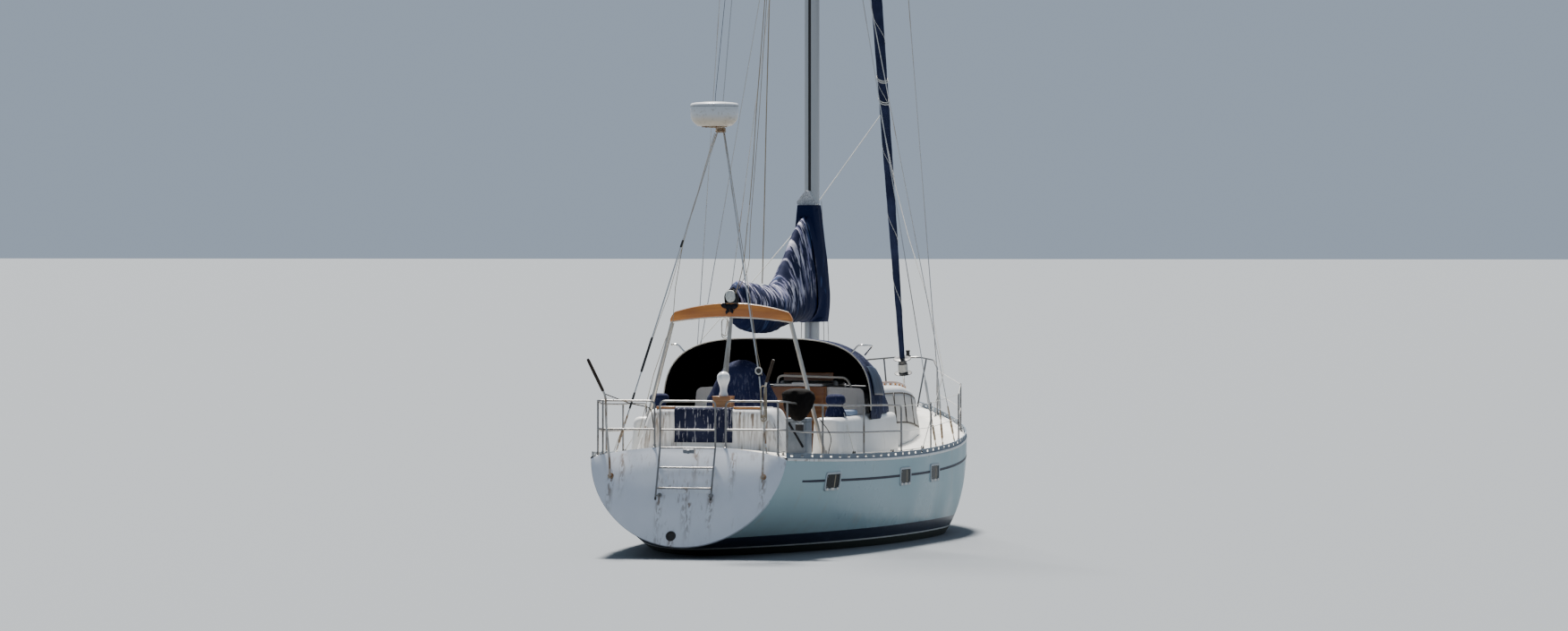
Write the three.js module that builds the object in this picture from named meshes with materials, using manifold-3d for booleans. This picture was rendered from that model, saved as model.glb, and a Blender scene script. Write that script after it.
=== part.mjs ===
import * as THREE from 'three';
import { mergeVertices } from 'three/addons/utils/BufferGeometryUtils.js';
import Module from 'manifold-3d';

const wasm = await Module();
wasm.setup();

// An aft-cockpit cruising sloop, in millimetres. +X is forward, +Y is port, +Z is up.
// The origin is on the centreline at the waterline, amidships.

// Driving dimensions of the hull
const seat = 0.3;
const beam = 3920;
const widestX = 580;
const sternNarrowing = 600;
const lengthAft = 6800;
const lengthForward = 6120;
const stemX = 6700;
const lowestSheerX = -1220;
const lowestSheerZ = 1200;
const deckEdge = 25;
const transomTopX = -6220;
const transomTopZ = 1486;
const transomRake = Math.atan(0.3606);
const transomThickness = 40;
const bootBottomZ = 120;
const bootTopZ = 260;

// Driving dimensions of the rig
const mastX = 520;
const mastHalfBreadth = 103;
const mastHalfLength = 145;
const mastTopZ = 20300;
const spreaderZ = 11500;
const spreaderHalfSpan = 1108;
const wireRadius = 7;
const gooseneckX = 300;
const gooseneckZ = 3280;
const boomEndX = -4110;
const boomEndZ = 3460;
const stayFootX = 6360;
const stayFootZ = 1800;
const stayHeadX = 690;
const stayHeadZ = 19950;

// Driving dimensions of the deck and its fittings
const roofTopZ = 2180;
const roofAftX = -1350;
const cockpitAftX = -4300;
const cockpitHalfWidth = 1050;
const seatZ = 1250;
const soleZ = 870;
const coamingTopZ = 1800;
const hatchY = -270;
const hatchHalfWidth = 360;
const houseTopZ = 1955;
const gallowsX = -4020;
const railX = -6200;
const railInset = 70;
const railRadius = 13;
const gateHalfWidth = 490;
const shroudInset = 120;
const ladderHalfWidth = 380;
const ladderHingeZ = 831;
const rudderAxisX = -5180;
const shaftAngle = THREE.MathUtils.degToRad(6);

const at = (x, y, z) => new THREE.Vector3(x, y, z);
const sides = [
  { name: 'port', sign: 1 },
  { name: 'starboard', sign: -1 },
];

// Shapes: closed solids from rings, rods, boxes and turned profiles

function solid(geometry) {
  geometry.deleteAttribute('normal');
  geometry.deleteAttribute('uv');
  const merged = mergeVertices(geometry, 1e-3);
  const points = merged.attributes.position.array;
  const corner = (i) => new THREE.Vector3().fromArray(points, 3 * i);
  const triangles = [];
  let volume = 0;
  for (let i = 0; i < merged.index.count; i += 3) {
    const [a, b, c] = merged.index.array.slice(i, i + 3);
    if (a === b || b === c || c === a) continue;
    triangles.push([a, b, c]);
    volume += corner(a).dot(corner(b).cross(corner(c)));
  }
  const facing = volume < 0 ? triangles.map(([a, b, c]) => [a, c, b]) : triangles;
  return new wasm.Manifold(new wasm.Mesh({
    numProp: 3,
    vertProperties: new Float32Array(points),
    triVerts: new Uint32Array(facing.flat()),
  }));
}

function loft(rings) {
  const count = rings[0].length;
  const points = rings.flat();
  const index = [];
  for (let r = 0; r + 1 < rings.length; r++) {
    for (let k = 0; k < count; k++) {
      const a = r * count + k;
      const b = r * count + (k + 1) % count;
      index.push(a, b, a + count, b, b + count, a + count);
    }
  }
  for (const [start, turn] of [[0, -1], [(rings.length - 1) * count, 1]]) {
    const middle = at(0, 0, 0);
    for (let k = 0; k < count; k++) middle.addScaledVector(points[start + k], 1 / count);
    const centre = points.push(middle) - 1;
    for (let k = 0; k < count; k++) {
      const a = start + k;
      const b = start + (k + 1) % count;
      index.push(centre, turn > 0 ? a : b, turn > 0 ? b : a);
    }
  }
  const geometry = new THREE.BufferGeometry().setFromPoints(points);
  geometry.setIndex(index);
  return solid(geometry);
}

function rod(points, radius, count = 6) {
  const way = (i) => points[i + 1].clone().sub(points[i]).normalize();
  const first = way(0);
  const hint = Math.abs(first.z) > 0.8 ? at(1, 0, 0) : at(0, 0, 1);
  const across = new THREE.Vector3().crossVectors(first, hint).normalize();
  const up = new THREE.Vector3().crossVectors(across, first);
  let ring = [];
  for (let k = 0; k < count; k++) {
    const angle = (2 * Math.PI * (k + 0.5)) / count;
    ring.push(points[0].clone()
      .addScaledVector(across, radius * Math.cos(angle))
      .addScaledVector(up, radius * Math.sin(angle)));
  }
  const rings = [ring];
  for (let i = 1; i < points.length; i++) {
    const before = way(i - 1);
    const mitre = i + 1 < points.length ? before.clone().add(way(i)).normalize() : before;
    ring = ring.map((p) => {
      const travel = points[i].clone().sub(p).dot(mitre) / before.dot(mitre);
      return p.clone().addScaledVector(before, travel);
    });
    rings.push(ring);
  }
  return loft(rings);
}

// Corners of a bent tube are swept round in three steps.
function bent(points, radius) {
  const path = [points[0]];
  for (let i = 1; i + 1 < points.length; i++) {
    const before = points[i - 1].clone().sub(points[i]).setLength(radius).add(points[i]);
    const after = points[i + 1].clone().sub(points[i]).setLength(radius).add(points[i]);
    const curve = new THREE.QuadraticBezierCurve3(before, points[i], after);
    path.push(...curve.getPoints(3));
  }
  path.push(points[points.length - 1]);
  return path;
}

function box(x0, x1, y0, y1, z0, z1) {
  const geometry = new THREE.BoxGeometry(x1 - x0, y1 - y0, z1 - z0);
  geometry.translate((x0 + x1) / 2, (y0 + y1) / 2, (z0 + z1) / 2);
  return solid(geometry);
}

function turned(profile, x, y, z, count = 16) {
  const geometry = new THREE.LatheGeometry(profile.map(([r, h]) => new THREE.Vector2(r, h)), count);
  geometry.rotateX(Math.PI / 2);
  geometry.translate(x, y, z);
  return solid(geometry);
}

function roundedRing(x0, x1, y0, y1, corner, z) {
  const ring = [];
  const corners = [
    [x1 - corner, y1 - corner, 0],
    [x0 + corner, y1 - corner, 90],
    [x0 + corner, y0 + corner, 180],
    [x1 - corner, y0 + corner, 270],
  ];
  for (const [x, y, start] of corners) {
    for (const step of [0, 45, 90]) {
      const angle = THREE.MathUtils.degToRad(start + step);
      ring.push(at(x + corner * Math.cos(angle), y + corner * Math.sin(angle), z));
    }
  }
  return ring;
}

function ellipseRing(x, y, z, halfX, halfY, count = 16) {
  const ring = [];
  for (let k = 0; k < count; k++) {
    const angle = (2 * Math.PI * k) / count;
    ring.push(at(x + halfX * Math.cos(angle), y + halfY * Math.sin(angle), z));
  }
  return ring;
}

const joined = (parts) => parts.reduce((sum, part) => sum.add(part));

// The outline of a shape drawn in y and z, made thick from x0 to x1
function plateAcross(shape, x0, x1) {
  const geometry = new THREE.ExtrudeGeometry(shape, { depth: x1 - x0, bevelEnabled: false, curveSegments: 8 });
  geometry.applyMatrix4(new THREE.Matrix4().makeBasis(at(0, 1, 0), at(0, 0, 1), at(1, 0, 0)));
  geometry.translate(x0, 0, 0);
  return solid(geometry);
}

// The finished assembly

const group = new THREE.Group();

const finishes = {
  topsides: { color: 0xa9bdb8, roughness: 0.35, metalness: 0 },
  white: { color: 0xe9e8e2, roughness: 0.4, metalness: 0 },
  navyPaint: { color: 0x1c2440, roughness: 0.4, metalness: 0 },
  antifouling: { color: 0x15181b, roughness: 0.8, metalness: 0 },
  steel: { color: 0xc9cbcc, roughness: 0.25, metalness: 1 },
  aluminium: { color: 0x9d9c98, roughness: 0.45, metalness: 1 },
  bronze: { color: 0x8a6a3a, roughness: 0.4, metalness: 1 },
  wood: { color: 0xa7601f, roughness: 0.4, metalness: 0 },
  navyCloth: { color: 0x1b2242, roughness: 0.9, metalness: 0 },
  blackCloth: { color: 0x17181b, roughness: 0.9, metalness: 0 },
  greyPlastic: { color: 0x7f858c, roughness: 0.6, metalness: 0 },
  whitePlastic: { color: 0xf0efea, roughness: 0.35, metalness: 0 },
};

function add(name, shape, finish) {
  const { vertProperties, triVerts, numProp } = shape.getMesh();
  const positions = new Float32Array((vertProperties.length / numProp) * 3);
  for (let i = 0; i < positions.length / 3; i++) {
    for (let k = 0; k < 3; k++) positions[3 * i + k] = vertProperties[numProp * i + k];
  }
  const geometry = new THREE.BufferGeometry();
  geometry.setAttribute('position', new THREE.BufferAttribute(positions, 3));
  geometry.setIndex(Array.from(triVerts));
  const mesh = new THREE.Mesh(geometry, new THREE.MeshStandardMaterial(finishes[finish]));
  mesh.name = name;
  group.add(mesh);
}

// Hull form: the half-breadth and the sheer are formulas of x, and each station has its keel depth
// and two fullness powers that bend the section from a V at the bow to a round bilge amidships.

function halfBreadth(x) {
  const away = x - widestX;
  if (away < 0) return beam / 2 - sternNarrowing * (-away / lengthAft) ** 2.2;
  return Math.max(28, (beam / 2) * (1 - (away / lengthForward) ** 2.2));
}

function sheer(x) {
  const away = (x - lowestSheerX) / 1000;
  return lowestSheerZ + (away > 0 ? 8.65 : 4.2) * away * away;
}

function camber(x) {
  const away = (lowestSheerX - x) / 5000;
  if (away > 0) return 90 + 60 * away * away;
  return (90 * halfBreadth(x)) / (beam / 2);
}

function deckTop(x, y) {
  return sheer(x) + deckEdge + camber(x) * (1 - (y / halfBreadth(x)) ** 2);
}

const stations = [
  // x, keelZ, depthPower, breadthPower
  [-6800, 170, 2.0, 2.0],
  [-6220, 95, 2.0, 2.0],
  [-5300, -60, 2.1, 2.05],
  [-4300, -250, 2.3, 2.15],
  [-3000, -450, 2.6, 2.3],
  [-1400, -610, 2.9, 2.5],
  [500, -660, 3.0, 2.6],
  [2000, -610, 2.9, 2.5],
  [3200, -470, 2.4, 2.1],
  [4200, -250, 1.9, 1.7],
  [4900, -20, 1.5, 1.35],
  [5500, 300, 1.3, 1.15],
  [6000, 800, 1.1, 1.05],
  [6400, 1280, 1.0, 1.0],
  [stemX, 1690, 1.0, 1.0],
].map(([x, keelZ, depthPower, breadthPower]) => ({ x, keelZ, depthPower, breadthPower }));

function hullSection({ x, keelZ, depthPower, breadthPower }) {
  const steps = 8;
  const ring = [];
  for (let k = -steps; k <= steps; k++) {
    const angle = (Math.abs(k) / steps) * (Math.PI / 2);
    const y = halfBreadth(x) * Math.sin(angle) ** (2 / breadthPower);
    const z = sheer(x) - (sheer(x) - keelZ) * Math.max(0, Math.cos(angle)) ** (2 / depthPower);
    ring.push(at(x, Math.sign(k) * y, z));
  }
  return ring;
}

function deckBlock(lift, bottomOf) {
  const steps = 6;
  return loft(stations.map(({ x }) => {
    const half = halfBreadth(x);
    const ring = [at(x, half, bottomOf(x)), at(x, -half, bottomOf(x))];
    for (let k = -steps; k <= steps; k++) {
      const y = (half * k) / steps;
      ring.push(at(x, y, deckTop(x, y) + lift));
    }
    return ring;
  }));
}

function keelLine(x) {
  const i = stations.findIndex((station) => station.x >= x);
  const [a, b] = [stations[i - 1], stations[i]];
  return a.keelZ + ((b.keelZ - a.keelZ) * (x - a.x)) / (b.x - a.x);
}

// Everything aft of the raked transom, moved forward by an inset measured square to it
const transomOut = at(-Math.cos(transomRake), 0, Math.sin(transomRake));
function aftOfTransom(inset) {
  const reach = 4000;
  const geometry = new THREE.BoxGeometry(reach, reach * 2, reach * 2);
  geometry.translate(-reach / 2, 0, 0);
  geometry.rotateY(transomRake);
  const face = at(transomTopX, 0, transomTopZ).addScaledVector(transomOut, -inset);
  geometry.translate(face.x, face.y, face.z);
  return solid(geometry);
}
const transomX = (z) => transomTopX - Math.tan(transomRake) * (transomTopZ - z);

const wholeHull = loft(stations.map(hullSection));
const underDeck = deckBlock(seat, () => -1000);
const onDeck = (shape) => shape.subtract(underDeck);
const underHull = (shape) => shape.subtract(wholeHull.translate([0, 0, -seat]));

const cockpitPocket = box(cockpitAftX, roofAftX, -cockpitHalfWidth, cockpitHalfWidth, 800, 3000);
const companionway = box(
  roofAftX - 10, roofAftX + 590, hatchY - hatchHalfWidth, hatchY + hatchHalfWidth, 1000, 3000,
);
const reach = 9000;
const slice = (z0, z1) => box(-reach, reach, -reach, reach, z0, z1);

const shell = wholeHull.subtract(aftOfTransom(0)).subtract(cockpitPocket).subtract(companionway);
const topsides = shell.intersect(slice(bootTopZ + seat, 3000));
add('hull_bottom', shell.intersect(slice(-3000, bootBottomZ)), 'antifouling');
add('boot_stripe', shell.intersect(slice(bootBottomZ + seat, bootTopZ)), 'navyPaint');
add('hull_topsides', topsides.subtract(aftOfTransom(transomThickness + seat)), 'topsides');
add('transom', topsides.intersect(aftOfTransom(transomThickness)), 'white');

const deck = deckBlock(0, (x) => sheer(x) + seat)
  .subtract(aftOfTransom(0)).subtract(cockpitPocket).subtract(companionway);
add('deck', deck, 'white');

// Toe rails along both edges of the deck

const toeRailHeight = 70;
const toeRailWidth = 25;
const toeRailXs = [railX - 20, ...stations.map(({ x }) => x).filter((x) => x > railX && x < 6300), 6330];
for (const { name, sign } of sides) {
  const strip = loft(toeRailXs.map((x) => {
    const outer = sign * (halfBreadth(x) - 3);
    const inner = sign * (halfBreadth(x) - 3 - toeRailWidth);
    const low = sheer(x) + deckEdge + seat;
    const high = low + toeRailHeight;
    return [at(x, outer, low), at(x, inner, low), at(x, inner, high), at(x, outer, high)];
  }));
  add(`toe_rail_${name}`, onDeck(strip), 'aluminium');
}

// Coachroof: a trunk cabin whose sides lean in, with its front sloped down to the foredeck

const roofSections = [
  // x, halfBase, halfTop, topZ
  [roofAftX, 1310, 1210, roofTopZ],
  [0, 1290, 1190, roofTopZ],
  [1500, 1240, 1130, 2150],
  [2600, 1120, 1000, 2060],
  [3500, 950, 820, 1940],
  [3950, 850, 700, 1870],
  [4280, 800, 640, 1560],
];
const roofBaseZ = 1100;
function coachroofBlock(grow) {
  return loft(roofSections.map(([x, halfBase, halfTop, topZ], i) => {
    const end = i === 0 ? -grow : i === roofSections.length - 1 ? grow : 0;
    const ring = [];
    for (const sign of [1, -1]) {
      const side = [
        at(x + end, sign * (halfBase + grow), roofBaseZ),
        at(x + end, sign * (halfTop + grow), topZ - 110),
        at(x + end, sign * (halfTop - 90), topZ + grow),
      ];
      ring.push(...(sign > 0 ? side : side.reverse()));
    }
    return ring;
  }));
}
add('coachroof', onDeck(coachroofBlock(0)).subtract(companionway), 'white');

// Companionway: wooden washboards, a sliding hatch and the hood that the hatch slides into

const boardHalfWidth = 415;
const hatchAftX = roofAftX - 35;
const hatchFrontX = -745;
const hatchTravel = 580;
const hoodFrontX = -120;
const hoodTopZ = roofTopZ + 65;
const hatchBottomZ = roofTopZ + 0.5;
const hatchTopZ = roofTopZ + 34;
add('washboards', box(
  roofAftX - seat - 30, roofAftX - seat,
  hatchY - boardHalfWidth, hatchY + boardHalfWidth,
  seatZ + seat, roofTopZ - 2,
), 'wood');
add('companion_hatch', joined([
  box(hatchAftX, hatchFrontX, hatchY - hatchHalfWidth, hatchY + hatchHalfWidth, hatchBottomZ, hatchTopZ),
  box(hatchAftX, hatchAftX + 30, hatchY - 90, hatchY + 90, hatchTopZ - 5, hatchTopZ + 20),
]), 'white');
const hoodSide = 60;
const hood = box(
  hatchFrontX + 5, hoodFrontX,
  hatchY - hatchHalfWidth - hoodSide, hatchY + hatchHalfWidth + hoodSide, roofTopZ + seat, hoodTopZ,
);
const hoodPocket = box(
  hatchFrontX - 50, hatchFrontX + hatchTravel + 8,
  hatchY - hatchHalfWidth - 6, hatchY + hatchHalfWidth + 6, roofTopZ - 50, hatchTopZ + 26,
);
add('sea_hood', hood.subtract(hoodPocket), 'white');

// Fore hatch: a frame on the coachroof's fore end and a lid hinged on its forward edge

const foreHatch = { x0: 2680, x1: 3280, half: 300, baseZ: 1900, frameZ: 2095 };
const hatchFrame = box(
  foreHatch.x0, foreHatch.x1, -foreHatch.half, foreHatch.half, foreHatch.baseZ, foreHatch.frameZ,
).subtract(box(
  foreHatch.x0 + 45, foreHatch.x1 - 45, -foreHatch.half + 45, foreHatch.half - 45, 0, foreHatch.frameZ + 10,
));
add('fore_hatch_frame', hatchFrame.subtract(coachroofBlock(seat)), 'white');
add('fore_hatch_lid', joined([
  box(
    foreHatch.x0 - 5, foreHatch.x1 + 5, -foreHatch.half - 5, foreHatch.half + 5,
    foreHatch.frameZ + 0.5, foreHatch.frameZ + 28,
  ),
  rod([
    at(foreHatch.x1 + 14, -150, foreHatch.frameZ + 14),
    at(foreHatch.x1 + 14, 150, foreHatch.frameZ + 14),
  ], 10, 8),
]), 'greyPlastic');

// Cockpit: a moulded tub with seats and a foot well, and coamings on both sides of it

const tub = box(
  cockpitAftX + seat, roofAftX - seat, -cockpitHalfWidth + seat, cockpitHalfWidth - seat, 800 + seat, seatZ,
).subtract(box(cockpitAftX + 150, roofAftX - 150, -420, 420, soleZ, seatZ + 10));
add('cockpit_tub', tub, 'white');

const roofTool = coachroofBlock(seat);
for (const { name, sign } of sides) {
  const aftX = -3870;
  const frontX = -350;
  const levels = [
    // z, inner y, outer y, how far the ends are drawn in
    [roofBaseZ, cockpitHalfWidth + 15, 1500, 0],
    [coamingTopZ - 60, cockpitHalfWidth + 45, 1455, 40],
    [coamingTopZ, cockpitHalfWidth + 75, 1425, 70],
  ];
  const coaming = loft(levels.map(([z, inner, outer, drawn]) => {
    const [low, high] = sign > 0 ? [inner, outer] : [-outer, -inner];
    return roundedRing(aftX + drawn, frontX, low, high, 60, z);
  }));
  add(`coaming_${name}`, onDeck(coaming).subtract(roofTool).subtract(box(
    roofAftX - 40, roofAftX + 300, -1290, 1290, 0, 3000,
  )), 'white');
}

// Aft house: the raised locker across the boat behind the cockpit

const houseAftX = -5270;
const houseLevels = [
  // z, half width, drawn in at the ends; the sides lean in
  [roofBaseZ, 1130, 0],
  [1840, 875, 5],
  [houseTopZ - 30, 830, 25],
  [houseTopZ, 780, 70],
];
const house = loft(houseLevels.map(([z, halfWidth, drawn]) => roundedRing(
  houseAftX + drawn, cockpitAftX - 50 - drawn, -halfWidth, halfWidth, 100, z,
)));
add('aft_house', onDeck(house), 'white');

// On the aft house: a wooden box with a white bulb-shaped cap, and a cloth over the aft edge

const capX = -4870;
const capY = -110;
add('cap_box', box(capX - 110, capX + 110, capY - 125, capY + 125, houseTopZ + seat, houseTopZ + 163), 'wood');
add('white_cap', turned([
  [0, 0], [60, 0], [50, 40], [48, 100], [70, 170], [87, 230], [78, 290], [40, 325], [0, 334],
], capX, capY, houseTopZ + 163 + seat), 'whitePlastic');
add('aft_drape', joined([
  box(houseAftX - 24, houseAftX - seat, -330, 470, 1500, houseTopZ + 22),
  box(houseAftX - 10, capX - 140, -330, 470, houseTopZ + seat, houseTopZ + 22),
]).subtract(box(houseAftX - seat, -4900, -400, 500, 0, houseTopZ + seat)), 'navyCloth');
add('side_locker', onDeck(box(-5350, -5010, -1385, -1085, 1200, 1840)), 'greyPlastic');

// Helm: the pedestal stands on the sole, with the wheel under a cloth cover

const helmX = -3450;
const pedestalProfile = [[0, 0], [150, 0], [110, 60], [95, 527], [0, 527]];
add('helm_pedestal', turned(pedestalProfile, helmX, 0, soleZ + seat, 12), 'white');
const helmCover = [
  // z, half length, half breadth
  [1398, 190, 470],
  [1700, 230, 530],
  [2110, 230, 535],
  [2300, 200, 430],
  [2430, 170, 300],
  [2530, 120, 150],
  [2580, 60, 70],
];
const helmRings = helmCover.map(([z, halfX, halfY]) => ellipseRing(helmX, 0, z, halfX, halfY));
add('helm_cover', loft(helmRings), 'navyCloth');

// Sheet winches on the coamings, each under its own cloth cover

const winchX = -3170;
const winchY = 1250;
for (const { name, sign } of sides) {
  add(`winch_cover_${name}`, turned([
    [0, 0], [140, 0], [138, 150], [98, 170], [92, 290], [60, 310], [0, 312],
  ], winchX, sign * winchY, coamingTopZ + seat), 'navyCloth');
}

// Dodger: a cloth hood over the companionway, open aft, on the coamings and the coachroof

const dodgerBaseZ = coamingTopZ + seat;
const dodgerSections = [
  // x, half breadth, topZ
  [-2090, 1490, 2857],
  [-1500, 1475, 2850],
  [-950, 1430, 2730],
  [-340, 1330, 2250],
];
const clothThickness = 12;
function dodgerBlock(inset, reachAft) {
  const steps = 12;
  return loft(dodgerSections.map(([x, half, topZ], i) => {
    const shift = i === 0 ? -reachAft : -inset;
    const ring = [];
    for (let k = 0; k <= steps; k++) {
      const angle = (Math.PI * k) / steps;
      const y = (half - inset) * Math.sign(Math.cos(angle)) * Math.abs(Math.cos(angle)) ** (2 / 3.3);
      const z = 1730 + (topZ - inset - 1730) * Math.sin(angle) ** (2 / 3.3);
      ring.push(at(x + shift, y, z));
    }
    return ring;
  }));
}
const dodger = dodgerBlock(0, 0)
  .subtract(dodgerBlock(clothThickness, 40))
  .subtract(slice(-1000, dodgerBaseZ))
  .subtract(roofTool)
  .subtract(box(hatchFrontX - 700, hoodFrontX + 5, hatchY - 425, hatchY + 425, 0, hoodTopZ + 5));
add('dodger', dodger, 'navyCloth');

// Boom gallows: a crowned wooden beam on tubular legs, with a pair of struts to the aft house

const beamShape = new THREE.Shape();
beamShape.moveTo(-860, 3110);
beamShape.quadraticCurveTo(0, 3250, 860, 3110);
beamShape.lineTo(855, 3165);
beamShape.quadraticCurveTo(840, 3215, 770, 3250);
beamShape.quadraticCurveTo(0, 3480, -770, 3250);
beamShape.quadraticCurveTo(-840, 3215, -855, 3165);
beamShape.lineTo(-860, 3110);
add('gallows_beam', plateAcross(beamShape, gallowsX - 32, gallowsX + 32), 'wood');

const strapShape = new THREE.Shape();
strapShape.moveTo(-860, 3109.5);
strapShape.quadraticCurveTo(0, 3249.5, 860, 3109.5);
strapShape.lineTo(860, 3091);
strapShape.quadraticCurveTo(0, 3231, -860, 3091);
strapShape.lineTo(-860, 3109.5);
const legFootY = 1300;
const gallowsLegs = sides.map(({ sign }) => rod([
  at(gallowsX, sign * 835, 3092),
  at(gallowsX, sign * legFootY, deckTop(gallowsX, legFootY) - 60),
], 29, 8));
const gallowsFeet = sides.map(({ sign }) => turned(
  [[0, 0], [75, 0], [75, 45], [0, 45]], gallowsX, sign * legFootY, deckTop(gallowsX, legFootY) - 30, 12,
));
const gallowsStruts = [-4420, -4650].map((footX) => rod([
  at(gallowsX - 10, 0, 3163),
  at(footX, 0, houseTopZ - 40),
], 22, 8));
add('gallows_frame', onDeck(joined([
  plateAcross(strapShape, gallowsX - 25, gallowsX + 25), ...gallowsLegs, ...gallowsFeet,
])).add(joined(gallowsStruts).subtract(box(-6000, -3000, -500, 500, 0, houseTopZ + seat))), 'aluminium');

// Keel, skeg, rudder, propeller and shaft under the waterline

function foil(levels, count = 12) {
  return loft(levels.map(([z, noseX, tailX, half]) => {
    const ring = [];
    for (let k = 0; k < count; k++) {
      const angle = (2 * Math.PI * k) / count;
      const along = (1 + Math.cos(angle)) / 2;
      const thick = half * Math.sin(angle) * (0.25 + 0.75 * Math.sqrt(along)) * (along > 0.9 ? 1 : 1.05);
      ring.push(at(tailX + (noseX - tailX) * along, thick, z));
    }
    return ring;
  }));
}
add('fin_keel', underHull(foil([
  // z, noseX, tailX, half thickness
  [-1930, 850, -1250, 150],
  [-1700, 960, -1290, 165],
  [-1100, 1250, -1380, 130],
  [-300, 1650, -1500, 150],
])), 'antifouling');

const rudderNose = 42;
add('skeg', underHull(foil([
  [-1230, -4930, rudderAxisX + rudderNose + 6, 45],
  [-700, -4770, rudderAxisX + rudderNose + 6, 55],
  [0, -4600, rudderAxisX + rudderNose + 6, 65],
])), 'antifouling');

const rudderLevels = [
  // z, chord aft of the axis
  [-1680, 430],
  [-1600, 490],
  [-900, 545],
  [-190, 500],
];
const blade = loft(rudderLevels.map(([z, chord]) => {
  const ring = [];
  for (let k = -3; k <= 3; k++) {
    const angle = (k / 3) * (Math.PI / 2);
    ring.push(at(rudderAxisX + rudderNose * Math.cos(angle), rudderNose * Math.sin(angle), z));
  }
  ring.push(at(rudderAxisX - chord, 6, z), at(rudderAxisX - chord, -6, z));
  return ring;
}));
const stockRadius = 30;
const stockTopZ = keelLine(rudderAxisX + stockRadius) - 0.5;
const stock = rod([at(rudderAxisX, 0, -260), at(rudderAxisX, 0, stockTopZ)], stockRadius, 8);
add('rudder', blade.add(stock), 'antifouling');

// The shaft slopes down aft; the propeller's hub is 0.5 mm behind the strut's boss.
const hubX = -4470;
const hubZ = -680;
const alongShaft = (forward) => at(
  hubX + forward * Math.cos(shaftAngle), 0, hubZ + forward * Math.sin(shaftAngle),
);
const hubHalf = 60;
const strutStart = hubHalf + 0.5;
const shaft = rod([alongShaft(strutStart), alongShaft(1500)], 19, 8);
const boss = rod([alongShaft(strutStart), alongShaft(strutStart + 110)], 38, 8);
const strut = foil([[hubZ, hubX + 165, hubX + 75, 14], [100, hubX + 260, hubX + 110, 20]], 8);
add('prop_shaft', underHull(joined([shaft, boss, strut])), 'bronze');

const bladeCount = 3;
const blades = [];
for (let k = 0; k < bladeCount; k++) {
  const ring = (radius, half, twist) => {
    const cosine = Math.cos(twist);
    const sine = Math.sin(twist);
    const outline = [[half, 5], [-half, 5], [-half, -5], [half, -5]];
    return outline.map(([u, v]) => at(u * sine + v * cosine, u * cosine - v * sine, radius));
  };
  const bladeSolid = loft([ring(20, 40, 1.0), ring(110, 75, 0.75), ring(190, 65, 0.5), ring(230, 30, 0.4)]);
  blades.push(bladeSolid.rotate([(360 * k) / bladeCount, 0, 0]));
}
const hub = rod([at(-hubHalf, 0, 0), at(hubHalf, 0, 0)], 42, 10);
const hubNut = rod([at(-105, 0, 0), at(-hubHalf + 5, 0, 0)], 24, 8);
add('propeller', joined([hub, hubNut, ...blades])
  .rotate([0, -THREE.MathUtils.radToDeg(shaftAngle), 0]).translate([hubX, 0, hubZ]), 'bronze');

// Mast with its masthead and the lugs of the gooseneck

const mastFootZ = 2168;
const gooseneckLugs = [-45, 45].map((rise) => box(
  gooseneckX - 28, mastX - 100, -24, 24, gooseneckZ + rise - 9, gooseneckZ + rise + 9,
));
const stayWay = at(stayHeadX - stayFootX, 0, stayHeadZ - stayFootZ).normalize();
const onStay = (z) => at(stayFootX, 0, stayFootZ).addScaledVector(stayWay, (z - stayFootZ) / stayWay.z);
const stayTopZ = stayHeadZ - 40;
const mastSection = (z, grow) => ellipseRing(mastX, 0, z, mastHalfLength + grow, mastHalfBreadth + grow);
const mast = joined([
  rod([onStay(stayTopZ + 0.4), onStay(mastTopZ - 200)], 9, 8),
  loft([mastSection(mastFootZ, 0), mastSection(mastTopZ, 0)]),
  loft([mastSection(mastFootZ, 45), mastSection(mastFootZ + 55, 45)]),
  box(250, stayHeadX + 110, -45, 45, mastTopZ - 260, mastTopZ - 60),
  ...gooseneckLugs,
]);
add('mast', mast.subtract(roofTool), 'aluminium');

// Spreaders on a collar, with the standing rigging on each side

const collar = loft([mastSection(spreaderZ - 35, 30), mastSection(spreaderZ + 35, 30)])
  .subtract(loft([mastSection(spreaderZ - 60, seat), mastSection(spreaderZ + 60, seat)]));
const spreaders = sides.map(({ sign }) => loft([
  [mastHalfBreadth + 15, 75, 26],
  [spreaderHalfSpan - 8.5, 40, 16],
].map(([y, halfX, halfZ]) => {
  const ring = [];
  for (let k = 0; k < 8; k++) {
    const angle = (2 * Math.PI * k) / 8;
    ring.push(at(mastX + halfX * Math.cos(angle), sign * y, spreaderZ + halfZ * Math.sin(angle)));
  }
  return ring;
})));
add('spreaders', joined([collar, ...spreaders]), 'aluminium');

for (const { name, sign } of sides) {
  const chainplate = (x) => {
    const y = halfBreadth(x) - shroudInset;
    return at(x, sign * y, deckTop(x, y));
  };
  const foot = (x) => {
    const p = chainplate(x);
    return box(p.x - 45, p.x + 45, p.y - 12, p.y + 12, p.z - 60, p.z + 90);
  };
  const below = (x) => chainplate(x).setZ(chainplate(x).z + 36);
  const capShroudX = 730;
  const lowerXs = [280, 1680];
  add(`cap_shroud_${name}`, onDeck(joined([
    rod([
      below(capShroudX),
      at(mastX, sign * spreaderHalfSpan, spreaderZ),
      at(mastX, sign * (mastHalfBreadth + wireRadius + 1), mastTopZ - 330),
    ], wireRadius),
    foot(capShroudX),
  ])), 'steel');
  const tangY = mastHalfBreadth + 12;
  const tang = box(
    mastX - 40, mastX + 40, sign * tangY - 11, sign * tangY + 11, spreaderZ - 200, spreaderZ - 90,
  );
  add(`lower_shrouds_${name}`, onDeck(joined([
    tang,
    ...lowerXs.map((x) => rod([below(x), at(mastX, sign * tangY, spreaderZ - 150)], wireRadius)),
    ...lowerXs.map(foot),
  ])), 'steel');
}

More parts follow.
